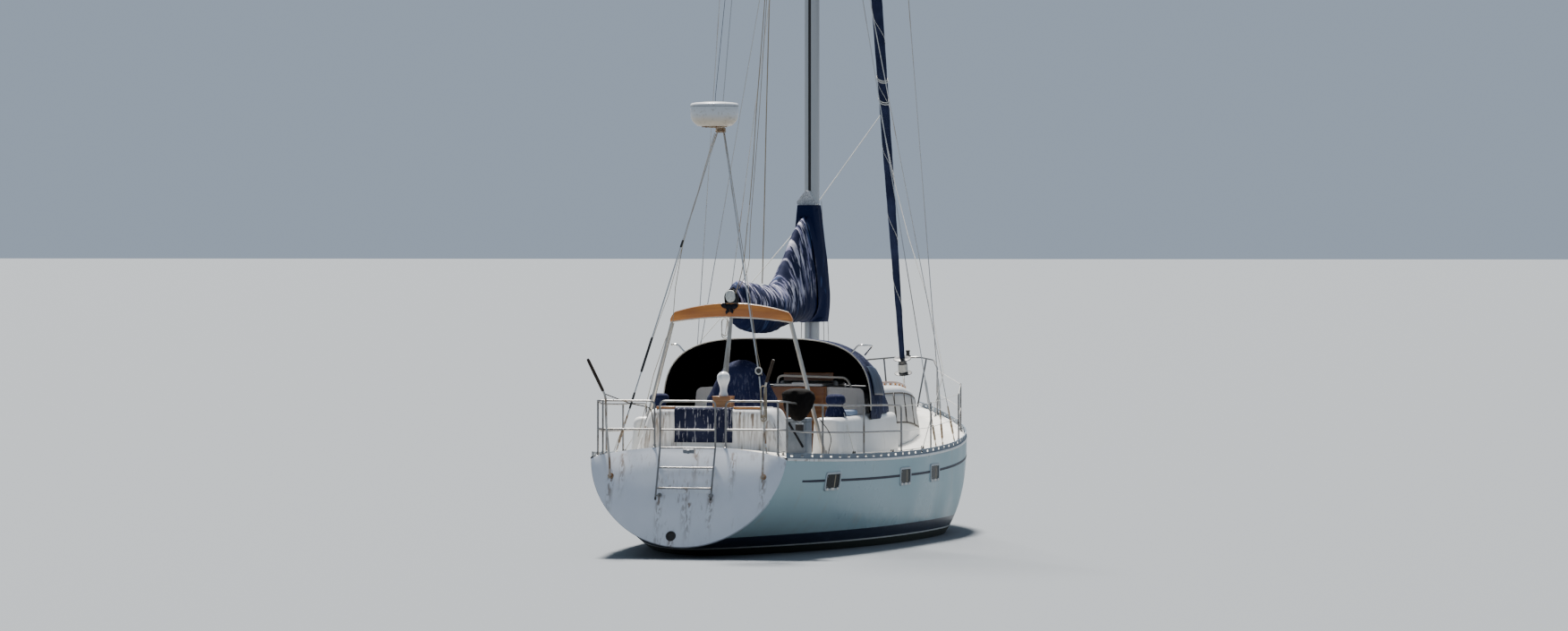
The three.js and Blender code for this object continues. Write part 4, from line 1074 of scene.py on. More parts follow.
slat_wood = teak("slat_teak", "x", pale=(0.42, 0.27, 0.15), dark=(0.24, 0.14, 0.075), gloss=0.6)
seat_slats = [
    ((-2.55, sign * (0.47 + 0.056 * k), seat_z), (1, 0, 0), (0, 0, 1))
    for sign in (1, -1)
    for k in range(10)
]
slats = laid_out(
    "seat_slats", [cast(-1.0, 1.0, -0.0245, 0.0245, 0.0003, 0.014, 0.006, 0.003)], seat_slats, slat_wood
)
fit(slats, "varnished_wood")
bar_spots = [((-2.82, -0.33 + 0.06 * k, sole_z), (1, 0, 0), (0, 0, 1)) for k in range(12)]
sole_bars = laid_out(
    "sole_grating", [cast(-1.25, 1.25, -0.014, 0.014, 0.0003, 0.022, 0.003, 0.003)], bar_spots, slat_wood
)
fit(sole_bars, "varnished_wood")
cross_spots = [((-4.05 + 0.12 * k, 0, sole_z), (1, 0, 0), (0, 0, 1)) for k in range(21)]
cross = laid_out(
    "sole_cross_bars", [cast(-0.012, 0.012, -0.34, 0.34, 0.0003, 0.016, 0.003, 0.002)], cross_spots,
    slat_wood,
)
fit(cross, "varnished_wood")

coaming_gelcoat = streaked("coaming_gelcoat", 0.35, tone=((0.72, 0.715, 0.69), (0.81, 0.805, 0.79)))
for side, sign in both_sides:
    rings = []
    # z, inner y, outer y, how far the ends are drawn in
    for z, inner, outer, drawn in (
        (1.12, 1.065, 1.5, 0.0), (1.72, 1.092, 1.458, 0.035), (1.755, 1.099, 1.449, 0.043),
        (1.785, 1.116, 1.432, 0.058), (1.8, 1.15, 1.4, 0.09),
    ):
        rings.append(plan(-3.87 + drawn, -0.35, (outer - inner) / 2, 0.09, z, sign * (inner + outer) / 2))
    coaming = made(f"coaming_moulding_{side}", [solid(rings)], coaming_gelcoat)
    fit(coaming, "white_gelcoat", f"coaming_{side}")


# Aft house. The raised locker across the boat behind the cockpit, white gelcoat with round corners and
# sides that lean in, streaked by dirt from its top edge, with two lids and a teak strip on that edge.
house_gelcoat = streaked(
    "aft_house_gelcoat", 1.0,
    [
        (0.72, 1.9), (0.8, 1.66), (0.6, 1.93), (-0.62, 1.9), (-0.78, 1.8), (-0.45, 1.93), (-0.25, 1.93),
        (0.9, 1.72),
    ],
    spread=0.12, tone=((0.74, 0.735, 0.72), (0.85, 0.845, 0.83)),
)
house_x = (-5.27, -4.35)
house_rings = []
# z, half width, drawn in at the ends
for z, half, drawn in (
    (1.1, 1.13, 0.0), (1.8, 0.888, 0.004), (1.86, 0.866, 0.008), (1.905, 0.845, 0.02),
    (1.935, 0.822, 0.042), (1.95, 0.795, 0.068), (1.955, 0.765, 0.1),
):
    house_rings.append(plan(house_x[0] + drawn, house_x[1] - drawn, half, 0.15, z, steps=7))
house_parts = [solid(house_rings)]
for sign in (1, -1):
    house_parts.append(cast(-4.72, -4.46, sign * 0.41 - 0.3, sign * 0.41 + 0.3, 1.95, 1.966, 0.05, 0.008))
fit(made("aft_house_moulding", house_parts, house_gelcoat), "white_gelcoat", "aft_house")
strip_wood = teak("strip_teak", "y")
strips = [
    cast(-5.205, -5.172, -0.72, -0.335, 1.948, 1.985, 0.008, 0.008),
    cast(-5.205, -5.172, 0.475, 0.74, 1.948, 1.985, 0.008, 0.008),
]
fit(made("aft_house_strip", strips, strip_wood), "varnished_wood")


# Side locker. A grey moulded deck box on the starboard side deck, with a lid and a black strap that runs
# slantwise down its aft face.
locker_parts = [
    cast(-5.345, -5.015, -1.38, -1.09, 1.3, 1.79, 0.03, 0.006),
    cast(-5.35, -5.01, -1.385, -1.085, 1.793, 1.84, 0.035, 0.018),
]
fit(made("deck_locker", locker_parts, moulded_grey), "grey_plastic", "side_locker")
webbing = canvas("black_webbing", (0.012, 0.012, 0.014), (0.04, 0.04, 0.045), weave=1400)
strap_rows = []
for t in np.linspace(0, 1, 12):
    y, z = -1.335 + 0.2 * t, 1.45 + 0.33 * t
    strap_rows.append([
        (-5.3485 - 0.003 * sin(9 * t), y - 0.012, z + 0.008),
        (-5.3485 - 0.003 * sin(9 * t), y + 0.012, z - 0.008),
    ])
strap = cloth("locker_strap", strap_rows, webbing, 0.0025, toward=(-1, 0, 0))
fit(strap, "black_canvas")


# Cap box and drape. A small planked teak box on the aft house with a white bulb-shaped cap on it, and a
# navy cloth laid over the house's aft edge, with upright pale streaks painted on it as glints on its folds.
box_wood = teak("box_teak", "y", pale=(0.44, 0.2, 0.06), dark=(0.22, 0.09, 0.025))
box_parts = []
for k in range(3):
    low = 1.9555 + 0.05 * k
    box_parts.append(cast(-4.98, -4.76, -0.235, 0.015, low, low + 0.0485, 0.006, 0.005))
box_parts.append(cast(-4.985, -4.755, -0.24, 0.02, 2.104, 2.1178, 0.01, 0.006))
fit(made("cap_box_planks", box_parts, box_wood), "varnished_wood", "cap_box")
cap_plastic = Finish("cap_plastic", roughness=0.3, Coat_Weight=0.3)
cap_plastic.tones((0.8, 0.81, 0.82), (0.62, 0.64, 0.67), 14, 5, (1, 1, 0.25), limits=(0.42, 0.7))
# height, radius
cap_outline = [
    [0.0, 0.058], [0.012, 0.062], [0.035, 0.056], [0.06, 0.05], [0.1, 0.049], [0.135, 0.056],
    [0.17, 0.069], [0.205, 0.081], [0.235, 0.087], [0.262, 0.086], [0.288, 0.078], [0.305, 0.064],
    [0.318, 0.048], [0.328, 0.028], [0.334, 0.0],
]
cap_profile = [
    (fair(cap_outline, h)[0] if h < 0.33 else 0.02 * (0.334 - h) / 0.004, h)
    for h in np.linspace(0, 0.334, 40)
]
cap = made("bulb_cap", [turned([(0, 0), *cap_profile], (-4.87, -0.11, 2.1183), steps=36)], cap_plastic)
fit(cap, "white_plastic", "white_cap")

# The drape's pale upright streaks are painted glints on the folds of the cloth.
drape_canvas = canvas(
    "drape_canvas", (0.01, 0.013, 0.035), (0.03, 0.035, 0.075), sheen_streaks=0.9,
    sheen_tone=(0.36, 0.36, 0.4), sheen_cut=0.575, sheen_rise=0.12,
)
drape_width, drape_top, drape_drop = 0.8, 0.2, 0.455
drape_rows = []
edge_bend = 0.045
for t in np.linspace(0, drape_top + drape_drop, 60):
    row = []
    for y in np.linspace(-0.33, -0.33 + drape_width, 50):
        wave = 0.01 * sin(13 * y + 1.3) + 0.006 * sin(29 * y + 0.4) + 0.003 * sin(57 * y)
        if t < drape_top - edge_bend:
            x, z = -5.06 - t, 1.967 + 0.1 * wave
        elif t < drape_top + edge_bend:
            a = (t - drape_top + edge_bend) / (2 * edge_bend) * pi / 2
            x, z = -5.06 - drape_top + edge_bend - 0.055 * sin(a), 1.967 - 0.055 * (1 - cos(a))
        else:
            fall = t - drape_top - edge_bend
            grow = min(1.0, fall / 0.15)
            x = -5.27 - 0.012 * grow - wave * grow * 0.7
            z = 1.912 - fall
            y = y + 0.012 * sin(5 * fall + 8 * y) * grow
        row.append((x, y, z))
    drape_rows.append(row)
drape = cloth("aft_drape_cloth", drape_rows, drape_canvas, 0.004, toward=(-1, 0, 1))
fit(drape, "navy_canvas", "aft_drape")


# Helm. A white pedestal on the sole, under a navy cloth cover that hides the wheel too. The cover is
# slack all over and gathered at its hem.
# The navy canvas carries faint pale streaks of painted sheen.
navy = canvas(
    "navy_canvas", (0.006, 0.009, 0.036), (0.02, 0.027, 0.075), sheen_streaks=0.12, sheen_tone=(0.25, 0.27, 0.36)
)
helm_x = -3.45
pedestal_gelcoat = streaked("pedestal_gelcoat", 0.3)
pedestal = made(
    "pedestal_column",
    [turned(
        [
            (0, 0.8703), (0.15, 0.8703), (0.15, 0.885), (0.118, 0.92), (0.11, 0.94), (0.097, 1.38),
            (0.09, 1.396), (0, 1.396),
        ],
        (helm_x, 0, 0), steps=32,
    )],
    pedestal_gelcoat,
)
fit(pedestal, "white_gelcoat", "helm_pedestal")


def crease(place, scale, seed):
    """Folds of slack cloth: a signed height from -1 to 1 at a point."""
    spot = Vector(place) * scale + Vector((seed, seed * 2.3, seed * 0.7))
    ridges = 1 - 2 * abs(mathutils.noise.noise(spot))
    return 0.65 * ridges + 0.35 * mathutils.noise.noise(spot * 2.7)


# z, half length, half breadth
helm_outline = [
    [1.398, 0.19, 0.47], [1.7, 0.23, 0.53], [2.06, 0.23, 0.5], [2.13, 0.225, 0.455], [2.35, 0.19, 0.345],
    [2.48, 0.16, 0.255], [2.53, 0.13, 0.19], [2.562, 0.1, 0.12], [2.58, 0.05, 0.055],
]
helm_rings = []
for z in [*np.linspace(1.398, 2.5, 56), 2.525, 2.545, 2.56, 2.572, 2.58]:
    half_x, half_y = straight(helm_outline, z)
    gather = max(0.0, (1.62 - z) / 0.22)
    ring = []
    for a in angles(96):
        pleat = 1 - 0.045 * gather * (0.5 + 0.5 * sin(17 * a))
        place = (helm_x + half_x * cos(a) * pleat, half_y * sin(a) * pleat, z)
        slack = 0.014 * crease((place[0] * 2, place[1] * 2, place[2] * 0.8), 1.6, 4) - 0.012
        ring.append((place[0] + slack * cos(a), place[1] + slack * sin(a), z))
    helm_rings.append(ring)
helm_points, helm_faces = skin(helm_rings, closed=True)
helm_faces.append(tuple(range(len(helm_points) - 96, len(helm_points))))
helm = made("helm_cover_cloth", [(helm_points, helm_faces)], navy, crease=80)
thickened(helm, 0.003)
fit(helm, "navy_canvas", "helm_cover")


# Winches. The sheet winches on the coamings are wholly under navy covers, each with a wide cap, drawn in
# at its waist.
winch_x, winch_y = -3.17, 1.25
for side, sign in both_sides:
    rings = []
    for r, h in (
        (0.147, 0.0), (0.145, 0.03), (0.128, 0.085), (0.102, 0.125), (0.091, 0.148), (0.094, 0.165),
        (0.118, 0.185), (0.134, 0.2), (0.136, 0.245), (0.128, 0.275), (0.108, 0.297), (0.07, 0.308),
        (0.03, 0.312),
    ):
        ring = []
        for a in angles(48):
            pleat = 1 - 0.03 * (0.5 + 0.5 * sin(14 * a + sign)) * (1 if h < 0.12 else 0.4)
            bulge = 0.006 * crease((r * cos(a), r * sin(a), h), 9, sign + 3)
            reach = r * pleat + bulge
            ring.append((winch_x + reach * cos(a), sign * winch_y + reach * sin(a), 1.8005 + h))
        rings.append(ring)
    points, faces = skin(rings, closed=True)
    faces.append(tuple(range(len(points) - 48, len(points))))
    bag = made(f"winch_cover_cloth_{side}", [(points, faces)], navy, crease=80)
    thickened(bag, 0.003)
    fit(bag, "navy_canvas", f"winch_cover_{side}")


# Grill. A round barbecue on the starboard quarter's rail, under a slack black bag that its rail clamps
# hold; a bright bracket and a black clamp show below it.
grill_x, grill_y = -5.66, -1.345
bag_black = canvas("bag_black", (0.004, 0.0032, 0.003), (0.014, 0.01, 0.008), bump=0.6)
bag_rings = []
# z, half length, half breadth
bag_outline = [
    [1.812, 0.05, 0.045], [1.835, 0.09, 0.085], [1.88, 0.12, 0.125], [1.95, 0.145, 0.172],
    [2.03, 0.156, 0.212], [2.1, 0.158, 0.228], [2.17, 0.145, 0.222], [2.215, 0.115, 0.175],
    [2.238, 0.07, 0.1], [2.245, 0.02, 0.03],
]
for z in [1.812, 1.82, *np.linspace(1.835, 2.225, 26), 2.238, 2.243, 2.245]:
    half_x, half_y = straight(bag_outline, z)
    ring = []
    for a in angles(60):
        bulge = 0.034 * crease((cos(a) * 0.2, sin(a) * 0.25, z), 5, 11) - 0.018
        ring.append((
            grill_x + (half_x + bulge * min(1, half_x * 9)) * cos(a),
            grill_y + (half_y + bulge * min(1, half_y * 9)) * sin(a), z,
        ))
    bag_rings.append(ring)
grill = made("grill_bag", [solid(bag_rings)], bag_black, crease=80)
fit(grill, "black_canvas", "grill_cover")


# Sprayhood. Acrylic canvas stretched over three steel hoops that stand on the coamings: navy outside, lined
# in black made near-black as painted shade of its inside, bound along its aft edge in pale tape, with zipped
# front windows under flaps of the same canvas.
tube_along = Tree("tube_along_paths", Sides="Int")
circle = tube_along.node(
    "GeometryNodeCurvePrimitiveCircle", inputs={"Resolution": tube_along.given["Sides"], "Radius": 1.0}
)
path = tube_along.node("GeometryNodeMeshToCurve", inputs={"Mesh": tube_along.given["Geometry"]})
tube_along.end(tube_along.node(
    "GeometryNodeCurveToMesh",
    inputs={
        "Curve": path, "Profile Curve": circle, "Scale": tube_along.attribute("thick", "FLOAT"),
        "Fill Caps": True,
    },
))


def tubes(name, paths, finish, sides=12):
    """Round tubes along (radius or radii, points) paths, all in one piece."""
    points, edges, thick = [], [], []
    for radius, route in paths:
        start = len(points)
        points += [Vector(p) for p in route]
        edges += [(start + k, start + k + 1) for k in range(len(route) - 1)]
        thick += list(radius) if hasattr(radius, "__len__") else [radius] * len(route)
    return tube_along.grown(
        name, points, finish, edges=edges, values={"thick": thick}, crease=50, Sides=sides
    )


def bend(corners, radius, steps=7):
    """A route whose corners are swept round."""
    corners = [Vector(c) for c in corners]
    route = [corners[0]]
    for before, corner, after in zip(corners, corners[1:], corners[2:]):
        start = corner + (before - corner).normalized() * min(radius, (before - corner).length * 0.49)
        stop = corner + (after - corner).normalized() * min(radius, (after - corner).length * 0.49)
        for k in range(steps + 1):
            t = k / steps
            route.append(start * (1 - t) ** 2 + corner * 2 * t * (1 - t) + stop * t * t)
    return [*route, corners[-1]]


# x, half breadth, top z
hood_table = [
    [-2.09, 1.49, 2.857], [-1.8, 1.484, 2.858], [-1.5, 1.475, 2.85], [-1.2, 1.456, 2.8],
    [-0.95, 1.43, 2.72], [-0.7, 1.395, 2.54], [-0.5, 1.36, 2.375], [-0.34, 1.33, 2.25],
]
hoop_xs = (-2.09, -1.5, -0.95)
hood_foot_z, squareness = 1.73, 3.3


def hood_point(x, angle, inset=0.0):
    half, top = fair(hood_table, x)
    across, rise = cos(angle), max(sin(angle), 0.0)
    y = (half - inset) * copysign(abs(across) ** (2 / squareness), across)
    return Vector((x, y, hood_foot_z + (top - inset - hood_foot_z) * rise ** (2 / squareness)))


def hood_base(x):
    return 1.736 + 0.067 * min(1.0, max(0.0, (x + 1.4) / 0.2))


def hood_row(x, inset, count=90, sag=0.0):
    low = max(0.0, (hood_base(x) - hood_foot_z) / (fair(hood_table, x)[1] - inset - hood_foot_z))
    first = asin(min(1.0, low ** (squareness / 2)))
    row = []
    for k in range(count + 1):
        angle = first + (pi - 2 * first) * k / count
        place = hood_point(x, angle, inset)
        place += Vector((0, cos(angle), sin(angle))) * (0.008 * crease(place, 2.1, 6) - 0.006 - sag)
        row.append(place)
    return row


def slack_between(x):
    spans = sorted([*hoop_xs, -0.34])
    for a, b in zip(spans, spans[1:]):
        if a <= x <= b:
            return sin(pi * (x - a) / (b - a))
    return 0.0


# Its pale streaks are painted glints on the canvas.
hood_navy = canvas(
    "hood_navy", (0.006, 0.01, 0.036), (0.028, 0.038, 0.095), fade=0.6, sheen_streaks=0.3,
    sheen_tone=(0.18, 0.2, 0.3),
)
# The lining is black cloth darkened to near-black with no gleam: painted shade of the hood's inside.
hood_lining_and_shade = canvas("hood_lining_painted_shade", (0.0015, 0.0015, 0.002), (0.004, 0.004, 0.005), gleam=0.0)
hood_xs = np.linspace(-2.09, -0.34, 56)
hood_rows = [hood_row(x, 0.0, sag=0.016 * slack_between(x)) for x in hood_xs]
hatch_side = (-0.7, 0.16)


def hood_foot(y):
    """The height of what the sprayhood's front edge stands on: the hatch's hood or the roof."""
    return hood_z[1] + 0.004 if hatch_side[0] < y < hatch_side[1] else max(roof_top(-0.33, y) + 0.003, 1.803)


last = hood_rows[-1]
for share in (0.5, 1.0):
    row = []
    for place in last:
        foot = min(hood_foot(place.y), place.z)
        row.append(Vector((
            place.x + 0.012 * share, place.y * (1 - 0.012 * share), place.z + (foot - place.z) * share
        )))
    hood_rows.append(row)
hood_cloth = cloth("sprayhood_canvas", hood_rows, hood_navy, 0.003, toward=(0, 0, 1))
fit(hood_cloth, "navy_canvas", "dodger")
lining_rows = [hood_row(x, 0.007, sag=0.016 * slack_between(x)) for x in hood_xs]
hood_lining = cloth("sprayhood_lining", lining_rows, hood_lining_and_shade, 0.002, toward=(0, 0, -1))
fit(hood_lining, "black_canvas")

pale_tape = canvas("pale_tape", (0.42, 0.4, 0.35), (0.62, 0.6, 0.54))
edge_route = [hood_point(-2.0885, a) for a in np.linspace(0.03, pi - 0.03, 90)]
edge_tape = tubes("sprayhood_piping", [(0.0085, edge_route)], pale_tape, 10)
fit(edge_tape, "white_plastic")
hoops = []
for x in hoop_xs:
    lean = 0.05 if x < -2 else 0.0
    hoops.append((0.0125, [hood_point(x + lean, a, 0.026) for a in np.linspace(0.02, pi - 0.02, 60)]))
# The hoops take the lining's near-black finish: painted shade inside the hood.
fit(tubes("sprayhood_hoops", hoops, hood_lining_and_shade, 10), "stainless")
grips = []
for sign in (1, -1):
    grips.append((
        0.0125,
        bend(
            [
                (-2.02, sign * 1.2, 2.66), (-2.02, sign * 1.3, 2.775), (-2.02, sign * 1.4, 2.765),
                (-1.62, sign * 1.4, 2.75), (-1.58, sign * 1.28, 2.62),
            ],
            0.05,
        ),
    ))
fit(tubes("sprayhood_handrails", grips, steel, 10), "stainless")


def hood_patch(name, x0, x1, a0, a1, finish, out, thickness):
    rows = [[hood_point(x, a, -out) for a in np.linspace(a0, a1, 16)] for x in np.linspace(x0, x1, 14)]
    return cloth(name, rows, finish, thickness, toward=(0, 0, 1))


# The clear side windows are a dark blue: painted shade of the hood's inside seen through them; the lighter
# patches are painted glints.
shaded_vinyl = Finish("window_vinyl", roughness=0.32, Specular_IOR_Level=0.03)
shaded_vinyl.tones((0.012, 0.02, 0.045), (0.055, 0.075, 0.115), 5, 3, (1, 1, 0.3), limits=(0.4, 0.7))
for side, a0, a1 in (("starboard", pi - 0.52, pi - 0.14), ("port", 0.14, 0.52)):
    window = hood_patch(f"sprayhood_side_window_{side}", -1.86, -1.12, a0, a1, shaded_vinyl, 0.002, 0.0015)
    fit(window, "grey_plastic")
for k, (a0, a1, wide) in enumerate(((0.55, 1.15, 0.5), (1.25, 1.89, 1.22), (1.99, 2.59, 0.5))):
    flap = hood_patch(f"sprayhood_window_flap_{k + 1}", -0.86, -0.44, a0, a1, hood_navy, 0.004, 0.003)
    fit(flap, "navy_canvas")


# Grab rails. A white tube across the roof under the sprayhood, and varnished handrails bolted along the
# coachroof on both sides, each scalloped out between its feet.
roof_rail = bend([(-1.28, 0.05, 2.19), (-1.28, 0.04, 2.325), (-1.28, -0.95, 2.3), (-1.28, -1.02, 2.15)], 0.08)
fit(tubes("roof_grab_tube", [(0.016, roof_rail)], pale_plastic, 12), "white_plastic")
rail_wood = teak("handrail_teak", "x", gloss=0.35)
for side, sign in both_sides:
    rows = []
    for x in np.linspace(0.1, 2.5, 97):
        y = sign * (roof_side(x, 2.06) - 0.1)
        z = roof_top(x, y)
        foot = abs(((x - 0.1) / 0.4) % 1.0 - 0.5) > 0.36
        low = z + (0.001 if foot else 0.03)
        rows.append([
            (x, y - 0.013, low), (x, y + 0.013, low), (x, y + 0.013, z + 0.05), (x, y + 0.006, z + 0.056),
            (x, y - 0.006, z + 0.056), (x, y - 0.013, z + 0.05),
        ])
    fit(made(f"roof_handrail_{side}", [solid(rows)], rail_wood), "varnished_wood")


# Gallows. A crowned beam of varnished teak, laminated along its length, on two anodised tubes that lean out
# to the side decks, with two struts to the aft house. A pale strip caps its top and an alloy strap runs
# under it.
beam_x = -4.02


def beam_levels(y):
    """The underside and the top of the beam at a distance across the boat."""
    t = (y / 0.86 + 1) / 2
    low = 3.11 * ((1 - t) ** 2 + t * t) + 2 * t * (1 - t) * 3.25
    u = min(max((y / 0.77 + 1) / 2, 0.0), 1.0)
    high = 3.25 * ((1 - u) ** 2 + u * u) + 2 * u * (1 - u) * 3.48
    if abs(y) > 0.77:
        high = 3.25 - 0.095 * ((abs(y) - 0.77) / 0.086) ** 2
    return low, max(high, low + 0.02)


beam_wood = teak("beam_teak", "y", pale=(0.56, 0.205, 0.022), dark=(0.34, 0.105, 0.01), gloss=0.35)
beam_rings = []
for y in np.linspace(-0.857, 0.857, 80):
    low, high = beam_levels(y)
    corner = min(0.012, (high - low) * 0.3)
    beam_rings.append([
        (beam_x + p.x, y, (low + high) / 2 + p.y)
        for p in rounded_outline(0.064, high - low, corner, steps=3)
    ])
fit(made("gallows_beam_teak", [solid(beam_rings)], beam_wood), "varnished_wood", "gallows_beam")
cap_rows = []
for y in np.linspace(-0.8, 0.8, 60):
    high = beam_levels(y)[1]
    cap_rows.append([
        (beam_x - 0.02, y, high - 0.002), (beam_x + 0.02, y, high - 0.002),
        (beam_x + 0.02, y, high + 0.0035), (beam_x - 0.02, y, high + 0.0035),
    ])
chafe = made("gallows_chafe_strip", [solid(cap_rows)], pale_plastic)
fit(chafe, "stainless")

gallows_alloy = Finish("gallows_alloy", roughness=0.38, metallic=0.9)
gallows_alloy.tones((0.5, 0.47, 0.42), (0.29, 0.24, 0.185), 5, 6, (1, 1, 0.3), limits=(0.45, 0.75))
strap_rings = []
for y in np.linspace(-0.858, 0.858, 60):
    low = beam_levels(y)[0]
    strap_rings.append([
        (beam_x + x, y, low - d)
        for x, d in (
            (-0.025, 0.001), (0.025, 0.001), (0.025, 0.012), (0.02, 0.018), (-0.02, 0.018), (-0.025, 0.012)
        )
    ])
fit(made("gallows_strap", [solid(strap_rings)], gallows_alloy), "spar_alloy", "gallows_frame")
legs = []
feet = []
for sign in (1, -1):
    foot_z = deck_top(beam_x, 1.3)
    legs.append((0.029, [(beam_x, sign * 0.835, 3.094), (beam_x, sign * 1.3, foot_z + 0.01)]))
    feet.append(turned(
        [(0, 0), (0.075, 0), (0.075, 0.008), (0.068, 0.014), (0.045, 0.016), (0.036, 0.07), (0, 0.07)],
        (beam_x, sign * 1.3, foot_z - 0.004), steps=28,
    ))
for foot_x in (-4.42, -4.65):
    legs.append((0.022, [(beam_x - 0.01, 0, 3.163), (foot_x, 0, 1.957)]))
    feet.append(turned(
        [(0, 0), (0.05, 0), (0.05, 0.006), (0.04, 0.01), (0.028, 0.012), (0.026, 0.05), (0, 0.05)],
        (foot_x, 0, 1.9553), steps=24,
    ))
fit(tubes("gallows_legs", legs, gallows_alloy, 18), "spar_alloy")
fit(made("gallows_feet", feet, gallows_alloy), "spar_alloy")


# Boom and its cover. An oval alloy spar with a plastic end cap, its toggle held between two lugs on the
# mast. The stowed mainsail lies on it under a navy cover, faded to lilac where it creases upward; the lilac
# is shown only high up and on the port side, as painted highlight, and paler blue patches are painted glints.
gooseneck_z = 3.28


def boom_level(x):
    """The height of the boom's middle: it rises aft from the gooseneck."""
    return gooseneck_z + (0.3 - x) * 0.18 / 4.41


def oval(x, half_y, half_z, z, power=2.4, steps=36):
    def drawn(value):
        return copysign(abs(value) ** (2 / power), value)
    return [(x, half_y * drawn(cos(a)), z + half_z * drawn(sin(a))) for a in angles(steps)]


boom_parts = [
    solid([oval(x, 0.064, 0.08, boom_level(x)) for x in (-4.085, -4.08, 0.225, 0.23)]),
    cast(0.2, 0.326, -0.026, 0.026, 3.2444, 3.3156, 0.012, 0.008),
]
fit(made("boom_spar", boom_parts, anodised), "spar_alloy", "boom", body="boom")
end_grey = Finish("end_cap_grey", roughness=0.5)
end_grey.tones((0.42, 0.45, 0.44), (0.56, 0.58, 0.56), 30, 4, limits=(0.4, 0.7))
end_rings = [
    oval(x, 0.066 - d, 0.0815 - d, boom_level(x))
    for x, d in ((-4.07, 0), (-4.095, 0), (-4.106, 0.006), (-4.11, 0.016))
]
fit(made("boom_end_cap", [solid(end_rings)], end_grey), "grey_plastic", body="boom")

# x, top, bottom, half breadth
cover_table = [
    [-3.93, 3.575, 3.34, 0.085], [-3.83, 3.62, 3.2, 0.125], [-3.5, 3.65, 3.03, 0.185],
    [-2.9, 3.62, 2.96, 0.205], [-2.2, 3.59, 2.935, 0.215], [-1.55, 3.65, 2.985, 0.215],
    [-1.1, 3.92, 3.035, 0.21], [-0.42, 4.38, 3.075, 0.205], [0.05, 4.56, 3.06, 0.2],
]
sail_navy = canvas("sail_cover_navy", (0.01, 0.015, 0.05), (0.05, 0.06, 0.14), fade=0.5, bump=0.35)
along, across, height = sail_navy.axes()
# Painted highlight: the lilac crests show only high up and on the port side, toward the light, lower near the
# mast.
brow = sail_navy.step(along, -1.0, -0.3) * 0.12
upper = sail_navy.step(height + 0.3 * sail_navy.noise(3, 2, (1, 1, 1), 4) - brow, 3.36, 3.5)
near_mast = sail_navy.step(along, -1.15, -0.65) * 0.3
lit_port_side = sail_navy.step(across + 0.06 * sail_navy.noise(5, 3) - near_mast, -0.49, -0.44)
upper = upper * lit_port_side * sail_navy.step(along, 0.02, -0.06)
crest = sail_navy.patches(0.49, 0.56, 9, 5, (1.3, 0.5, 0.32), 9)
# Painted glints: paler blue patches on the navy.
glint = sail_navy.patches(0.6, 0.66, 4, 4, (1, 1, 0.35), 21) * 0.35
lilac_fade_and_highlight = sail_navy.mix(
    sail_navy.patches(0.4, 0.7, 11, 4, (1, 0.3, 0.2), 12), (0.17, 0.17, 0.28), (0.74, 0.71, 0.78)
)
base = sail_navy.mix(glint, (0.004, 0.009, 0.04), (0.06, 0.11, 0.26))
sail_navy.surface(Base_Color=sail_navy.mix(crest * upper * 0.92, base, lilac_fade_and_highlight))
cover_rows = []
for x in np.linspace(-3.93, 0.05, 150):
    top, bottom, half = fair(cover_table, x)
    row = []
    for k in range(64):
        a = 2 * pi * (k + 0.5) / 64 - pi / 2
        rise = sin(a)
        belly = min(3.33, (top + bottom) / 2 + 0.05)
        z = belly + ((top - belly) if rise > 0 else (belly - bottom)) * rise
        narrow = 1 - 0.35 * rise * rise if rise > 0 else 1
        aft_crumple = 1.0 + 1.2 * max(0.0, (-3.2 - x) / 0.7)
        side_fold = 0.02 * aft_crumple * crease((x * 2.4 + 0.5 * z, 0.25 * cos(a), 0.6 * z), 1.7, 8)
        fine_fold = 0.01 * crease((x * 2.2, cos(a), z * 2.0), 2.6, 2)
        lift = side_fold + fine_fold - 0.01
        out = Vector((0, cos(a) * narrow, rise)).normalized()
        row.append(Vector((x, half * cos(a) * narrow, z)) + out * lift)
    cover_rows.append(row)
sail_cover = cloth("sail_cover_on_boom", cover_rows, sail_navy, 0.003, closed=True, toward=None)
fit(sail_cover, "navy_canvas", "sail_cover_boom", body="boom")

tie_cloth = canvas("tie_cloth_black", (0.008, 0.009, 0.014), (0.02, 0.022, 0.035))
tie_rows = []
for k in range(41):
    a = 2 * pi * k / 40
    wide = 0.045 + 0.01 * sin(3 * a)
    ring_z = 3.4 + 0.155 * sin(a)
    tie_rows.append([
        (-4.02 + side * wide, 0.088 * cos(a) + 0.004 * sin(5 * a + side), ring_z)
        for side in (-1, -0.3, 0.3, 1)
    ])
tie = cloth("boom_lashing", tie_rows, tie_cloth, 0.004, toward=None)
fit(tie, "black_canvas")


def lump(middle, reach, wide, deep, turn):
    """A crumpled lobe of tied cloth, drawn out to both sides of its middle and turned about the x axis."""
    rings = []
    for u in np.linspace(-0.995, 0.995, 15):
        size = sqrt(1 - u * u)
        ring = []
        for a in angles(18):
            r = size * (1 + 0.12 * sin(3 * a + 5 * u) + 0.08 * sin(5 * a - 4 * u))
            y, z = reach * u, wide * r * sin(a)
            ring.append((
                middle[0] + deep * r * cos(a), middle[1] + y * cos(turn) - z * sin(turn),
                middle[2] + y * sin(turn) + z * cos(turn),
            ))
        rings.append(ring)
    return solid(rings)


knot_x = beam_x - 0.046
knot = [
    lump((knot_x, 0.08, 3.325), 0.062, 0.032, 0.02, 0.3),
    lump((knot_x, -0.045, 3.32), 0.062, 0.034, 0.02, -0.25),
    lump((knot_x - 0.008, 0.018, 3.318), 0.034, 0.034, 0.026, 0.0),
    lump((knot_x + 0.002, 0.045, 3.262), 0.052, 0.021, 0.012, -1.15),
    lump((knot_x, -0.012, 3.268), 0.046, 0.019, 0.012, 1.3),
]
fit(made("boom_lashing_knot", knot, tie_cloth), "black_canvas")


